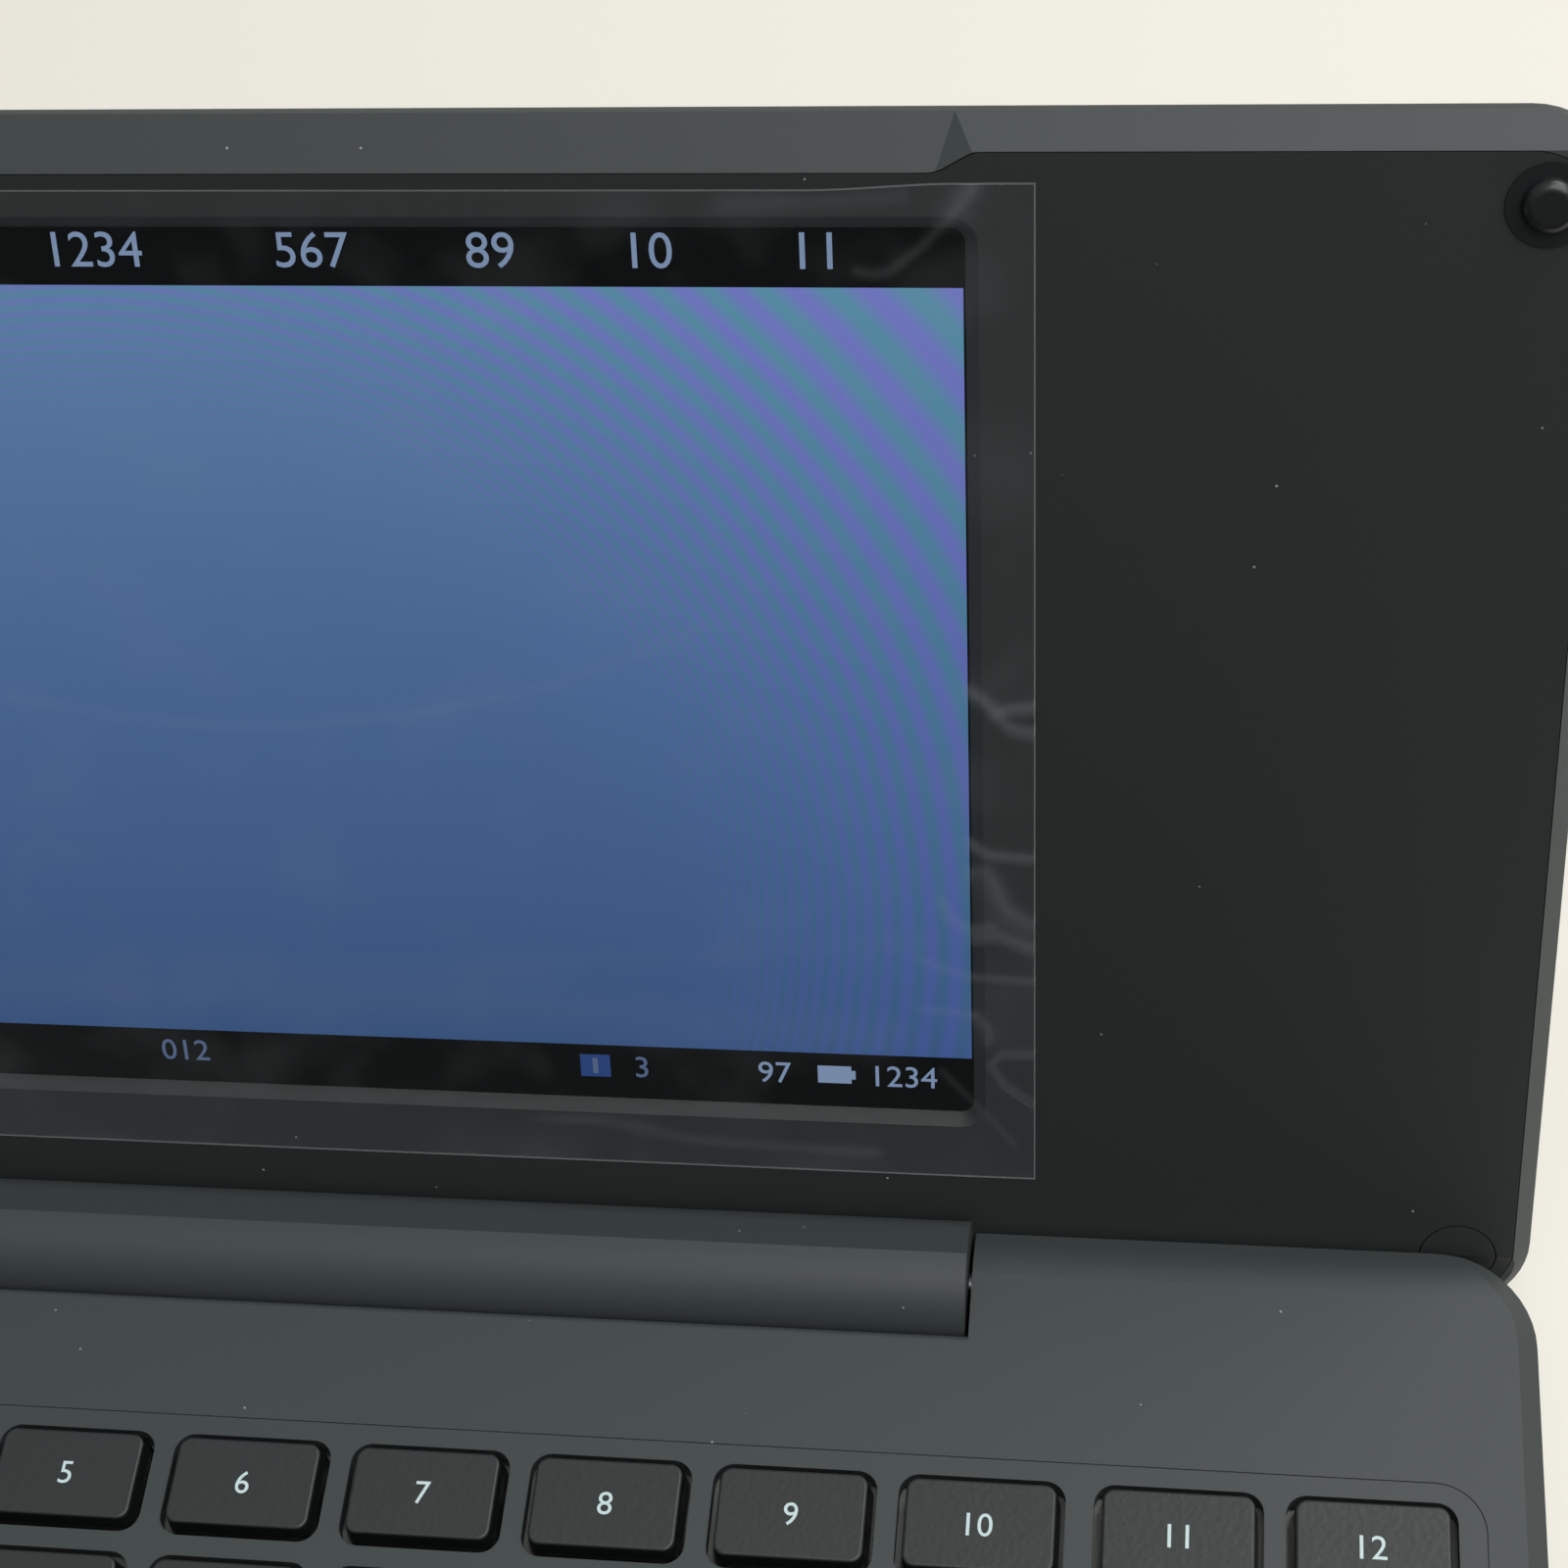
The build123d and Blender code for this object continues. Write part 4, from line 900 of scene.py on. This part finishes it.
@dataclass
class CoverFilm:
    """The clear film left over the display, with its creases and bubbles, their painted
    highlights, and pale bands of painted reflection.

    Attributes:
        bottom: its lower edge, up the lid from the hinge axis.
        top: its upper edge.
        sag: how far its upper edge sags, up to the first place of sag_span.
        sag_span: the places along the hinge between which the sag ends.
        sag_reach: how far below the upper edge the sag reaches.
        lie: how far its back lies off the lid on average.
        ripple: height of its long ripples.
        ripple_lengths: their length per radian, along the hinge and up the lid.
        stand_off: the most its back stands off, so that the closed lid clears the keys.
        window: half width, lower and upper edge of the display's window under it.
        laid_haze: how milky the film is where it lies on the frame.
        milkiness: how much of its creases' haze and painted highlight shows.
        edge: width of the strip along its cut edges, which carries a painted highlight.
        column_spans: each span of its grid's columns, as its end and its step.
        row_spans: the same for its rows.
    """

    place: LidPlace
    half_width: float = 85.0
    bottom: float = 9.3
    top: float = 105.9
    sag: float = 0.55
    sag_span: tuple[float, float] = (66.0, 79.0)
    sag_reach: float = 4.0
    thickness: float = 0.08
    lie: float = 0.05
    ripple: float = 0.03
    ripple_lengths: tuple[float, float] = (9.0, 13.0)
    stand_off: float = 0.27
    window: tuple[float, float, float] = (79.4, 16.0, 102.2)
    laid_haze: float = 0.01
    milkiness: float = 0.65
    edge: float = 0.16
    # The cut edges are a paler, milky strip: a painted highlight.
    edge_finish: FilmFinish = FilmFinish("cut_film_edge_painted_highlight", "a3abad", 0.33)
    smooth_angle: float = 40.0
    column_spans: tuple[tuple[float, float], ...] = ((68.0, 2.0), (85.0, 0.3))
    row_spans: tuple[tuple[float, float], ...] = ((106.0, 0.4),)
    creases: tuple[Crease, ...] = (
        # The fold at the free corner of the film, over the end of the menu bar
        Crease(
            (
                (70.3, 98.4),
                (71.7, 98.1),
                (72.9, 98.3),
                (75.6, 100.4),
                (77.2, 102.1),
                (79.4, 104.4),
                (79.8, 105.2),
            ),
            0.45,
            0.3,
            0.035,
        ),
        Crease(((78.6, 103.6), (79.6, 105.6)), 1.3, 0.1, 0.06),
        Crease(((60.0, 104.4), (74.0, 104.8)), 0.8, 0.05, 0.03),
        # The forked folds and bubbles down the side of the film
        Crease(((79.3, 60.4), (81.5, 58.6), (84.8, 59.0)), 0.6, 0.3, 0.1),
        Crease(((81.5, 58.2), (82.7, 57.0), (84.8, 56.4)), 0.6, 0.3, 0.09),
        Crease(((79.1, 45.4), (80.6, 44.2), (84.7, 43.9)), 0.5, 0.25, 0.09),
        Crease(
            ((79.1, 42.2), (80.5, 42.5), (82.5, 38.3), (84.9, 37.0)), 0.7, 0.3, 0.05
        ),
        Crease(((80.7, 41.0), (82.0, 37.8), (84.8, 35.8)), 1.5, 0.1, 0.04),
        Crease(
            ((76.4, 39.4), (77.3, 37.4), (79.1, 36.4), (80.9, 36.8)), 0.5, 0.25, 0.06
        ),
        Crease(((79.5, 35.6), (81.4, 35.9), (84.8, 34.5)), 0.6, 0.25, 0.07),
        Crease(
            ((74.5, 33.1), (77.5, 31.9), (79.5, 31.4), (84.8, 31.1)), 0.35, 0.15, 0.06
        ),
        Crease(((79.5, 27.2), (80.6, 25.6), (80.6, 24.8)), 0.5, 0.2, 0.05),
        Crease(
            ((84.8, 23.3), (81.9, 23.2), (80.8, 22.0), (81.9, 20.0), (84.8, 17.8)),
            0.35,
            0.2,
            0.06,
        ),
        Crease(((76.2, 21.2), (79.4, 17.6), (83.1, 13.1)), 0.3, 0.08, 0.03),
        Crease(((74.4, 27.7), (77.6, 27.6), (79.0, 27.3)), 0.4, 0.1, 0.05),
        # A long soft bend across the picture, and pale bands along its lower side; the
        # haze on these is a painted reflection
        Crease(
            (
                (-9.8, 58.0),
                (3.9, 55.8),
                (15.9, 55.4),
                (28.9, 56.9),
                (41.7, 60.1),
                (56.2, 66.2),
            ),
            0.6,
            0.05,
            0.03,
        ),
        Crease(
            ((-5.5, 30.5), (24.3, 30.0), (52.6, 32.7), (74.6, 35.1)), 1.2, 0.05, 0.015
        ),
        Crease(
            ((-40.0, 27.0), (4.9, 27.2), (31.7, 26.9), (70.0, 24.6)), 2.6, 0.05, 0.03
        ),
        Crease(
            ((38.2, 14.1), (44.0, 14.1), (51.5, 12.4), (70.0, 11.6)), 0.5, 0.1, 0.04
        ),
    )

    def shape(self, x: float, up: float) -> tuple[float, float]:
        """The film's height off the lid's face and its milkiness with painted highlight
        at a place.

        Args:
            x: place along the hinge.
            up: place up the lid.

        Returns:
            The height of its back in millimetres, and the haze with painted highlight
            from 0 to 1.
        """
        along, across = self.ripple_lengths
        height = self.lie + self.ripple * math.sin(x / along) * math.cos(up / across)
        half, low, high = self.window
        over_window = abs(x) < half and low < up < high
        haze = 0.0 if over_window else self.laid_haze
        for crease in self.creases:
            share = crease.share(x, up)
            height += crease.rise * share
            # The crease's haze paints its highlight as well as its milkiness.
            haze += self.milkiness * crease.haze * share
        return self.stand_off * math.tanh(height / self.stand_off), haze

    def sagged(self, x: float, up: float) -> float:
        """Moves a place near the film's upper edge down where that edge sags.

        Args:
            x: place along the hinge.
            up: place up the lid.

        Returns:
            The new place up the lid.
        """
        start, end = self.sag_span
        taut = min(1.0, max(0.0, (x - start) / (end - start)))
        slack = 1 - taut * taut * (3 - 2 * taut)  # falls smoothly from 1 to 0
        near_edge = max(0.0, 1 - (self.top - up) / self.sag_reach)
        return up - self.sag * slack * near_edge

    def stations(
        self, low: float, high: float, spans: tuple[tuple[float, float], ...]
    ) -> list[float]:
        """The lines of the film's grid in one direction, closer where it is creased.

        Args:
            low: the film's lower edge in that direction.
            high: its upper edge.
            spans: each span's end and the step of the lines in it.

        Returns:
            The places of the lines, with a narrow strip at either edge.
        """
        lines = [low, low + self.edge]
        for end, step in spans:
            start, stop = lines[-1], min(end, high - self.edge)
            count = max(1, round((stop - start) / step))
            lines += [start + (stop - start) * k / count for k in range(1, count + 1)]
        return lines + [high]

    def build(self) -> bpy.types.Object:
        """Builds the film as a fine sheet and lays it on the lid."""
        deselect_all()
        columns = self.stations(-self.half_width, self.half_width, self.column_spans)
        rows = self.stations(self.bottom, self.top, self.row_spans)
        bpy.ops.mesh.primitive_grid_add(
            x_subdivisions=len(columns) - 1, y_subdivisions=len(rows) - 1, size=1
        )
        film = bpy.context.object
        film.name = "cover_film"
        assign(film, FilmFinish().material())
        film.data.materials.append(self.edge_finish.material())
        haze = film.data.attributes.new(HAZE_AND_HIGHLIGHT_ATTRIBUTE, "FLOAT", "POINT")
        for vertex in film.data.vertices:
            x = columns[round((vertex.co.x + 0.5) * (len(columns) - 1))]
            up = rows[round((vertex.co.y + 0.5) * (len(rows) - 1))]
            height, haze.data[vertex.index].value = self.shape(x, up)
            vertex.co = Vector((x, self.sagged(x, up), height)) * MM
        last_column, last_row = len(columns) - 2, len(rows) - 2
        # Cells along the cut edges take the painted edge highlight.
        for cell in film.data.polygons:
            row, column = divmod(cell.index, last_column + 1)
            cut = column in (0, last_column) or row in (0, last_row)
            cell.material_index = int(cut)
        wall = film.modifiers.new("thickness", "SOLIDIFY")
        wall.thickness = self.thickness * MM
        wall.offset = 1
        bpy.ops.object.modifier_apply(modifier=wall.name)
        film.data.transform(self.place.matrix())
        bpy.ops.object.shade_smooth_by_angle(angle=math.radians(self.smooth_angle))
        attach(film, "lid")
        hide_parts("protective_film")
        return film


@dataclass
class Studio:
    """The pale table, the room's light and the camera of the photograph.

    The table and the lamps are measured in metres.

    Attributes:
        camera_place: where the camera stands, in millimetres.
        camera_right: the camera's right, in the frame's directions.
        camera_down: the camera's down, in the frame's directions.
        focal_pixels: focal length in pixels of the photograph.
        near_clip: distance from which the camera sees, in metres.
        floor_front: the table's front edge, close enough that the display, which
            leans back, doesn't mirror a bright table.
        floor_rear: the table's rear edge.
        horizon_strength: brightness of the room all round.
        zenith_strength: brightness of the room overhead.
    """

    camera_place: tuple[float, float, float] = (97.774, -98.687, 269.481)
    camera_right: tuple[float, float, float] = (0.99102885, 0.09585384, -0.09313356)
    camera_down: tuple[float, float, float] = (0.02527982, -0.81872156, -0.57363398)
    focal_pixels: float = 3060.45
    sensor: float = 36.0
    near_clip: float = 0.01
    floor_width: float = 4.0
    floor_front: float = -0.13
    floor_rear: float = 3.0
    floor_colour: str = "ece8de"
    floor_roughness: float = 0.8
    sky_colour: str = "f4f6f7"
    horizon_strength: float = 0.02
    zenith_strength: float = 0.5
    ceiling_place: tuple[float, float, float] = (0.6, -0.25, 1.25)
    ceiling_size: tuple[float, float] = (1.3, 1.0)
    ceiling_power: float = 14.0
    rear_place: tuple[float, float, float] = (0.75, 0.75, 1.2)
    rear_size: tuple[float, float] = (0.9, 0.7)
    rear_power: float = 7.5

    def camera(self) -> None:
        """Adds the camera at the photograph's place and angle."""
        right, down = Vector(self.camera_right), Vector(self.camera_down)
        forward = right.cross(down)
        turned = Matrix((right, -down, -forward)).transposed().to_4x4()
        data = bpy.data.cameras.new("photo_camera")
        data.sensor_width = self.sensor
        data.lens = self.focal_pixels / PHOTO_PIXELS * self.sensor
        data.clip_start = self.near_clip
        camera = bpy.data.objects.new("photo_camera", data)
        bpy.context.scene.collection.objects.link(camera)
        camera.matrix_world = (
            Matrix.Translation(Vector(self.camera_place) * MM) @ turned
        )
        bpy.context.scene.camera = camera

    def floor(self) -> None:
        """Adds the table as a wide pale floor."""
        deselect_all()
        bpy.ops.mesh.primitive_plane_add(size=1)
        floor = bpy.context.object
        floor.name = "table"
        length = self.floor_rear - self.floor_front
        middle = Vector((0, (self.floor_rear + self.floor_front) / 2, 0))
        size = Matrix.Diagonal((self.floor_width, length, 1, 1))
        floor.data.transform(Matrix.Translation(middle) @ size)
        finish = PlainFinish("pale_table", self.floor_colour, self.floor_roughness)
        assign(floor, finish.material())

    def lamp(
        self,
        name: str,
        place: tuple[float, float, float],
        size: tuple[float, float],
        power: float,
    ) -> None:
        """Adds a soft rectangular lamp that points at the middle of the table.

        Args:
            name: the lamp's name.
            place: where it hangs, in metres.
            size: its width and length, in metres.
            power: its power, in watts.
        """
        data = bpy.data.lights.new(name, "AREA")
        data.shape = "RECTANGLE"
        data.size, data.size_y = size
        data.energy = power
        lamp = bpy.data.objects.new(name, data)
        lamp.location = place
        lamp.rotation_mode = "QUATERNION"
        lamp.rotation_quaternion = (-Vector(place)).to_track_quat("-Z", "Y")
        bpy.context.scene.collection.objects.link(lamp)

    def world(self) -> None:
        """Sets a room, bright overhead and dim all round, that is seen as pale."""
        world = bpy.data.worlds.new("room")
        world.use_nodes = True
        tree = world.node_tree
        tree.nodes.clear()
        seen = add_node(
            tree,
            "ShaderNodeBackground",
            Color=linear(self.floor_colour),
            Strength=1.0,
        )
        place = add_node(tree, "ShaderNodeTexCoord").outputs["Generated"]
        height = add_node(tree, "ShaderNodeSeparateXYZ", Vector=place).outputs["Z"]
        light = add_node(
            tree,
            "ShaderNodeBackground",
            Color=linear(self.sky_colour),
            Strength=ranged(
                tree, height, 0, 1, self.horizon_strength, self.zenith_strength
            ),
        )
        path = add_node(tree, "ShaderNodeLightPath")
        mixed = add_node(
            tree,
            "ShaderNodeMixShader",
            Fac=path.outputs["Is Camera Ray"],
            in_1=light.outputs[0],
            in_2=seen.outputs[0],
        )
        output = tree.nodes.new("ShaderNodeOutputWorld")
        tree.links.new(mixed.outputs[0], output.inputs["Surface"])
        bpy.context.scene.world = world

    def build(self) -> None:
        """Builds the whole studio."""
        self.camera()
        self.floor()
        self.world()
        self.lamp("ceiling", self.ceiling_place, self.ceiling_size, self.ceiling_power)
        self.lamp("rear", self.rear_place, self.rear_size, self.rear_power)
        bpy.context.scene.view_settings.view_transform = "Standard"


def dress_nodes(nodes: dict[str, bpy.types.Object]) -> None:
    """Gives every CAD node its finish.

    Args:
        nodes: the CAD nodes by name.
    """
    key = KeyFinish().material()
    for name, node in nodes.items():
        finish = NODE_FINISHES.get(name)
        if finish:
            assign(node, finish.material())
        elif name.startswith(("key_", "keys_")):
            assign(node, key)


def main() -> None:
    """Dresses the part and builds the studio."""
    logging.basicConfig(level=logging.INFO, format="%(name)s: %(message)s")
    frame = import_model()
    dress_nodes(frame["nodes"])
    hinge = next(j for j in frame["joints"] if j["name"] == "lid_hinge")
    place = LidPlace(Vector(hinge["pos_m"]))
    for piece in DisplayPicture(place).build():
        log.info("built %s", piece.name)
    log.info("built %s", CoverFilm(place).build().name)
    for piece in KeyLegends().build():
        log.info("built %s", piece.name)
    Studio().build()


if __name__ == "__main__":
    main()
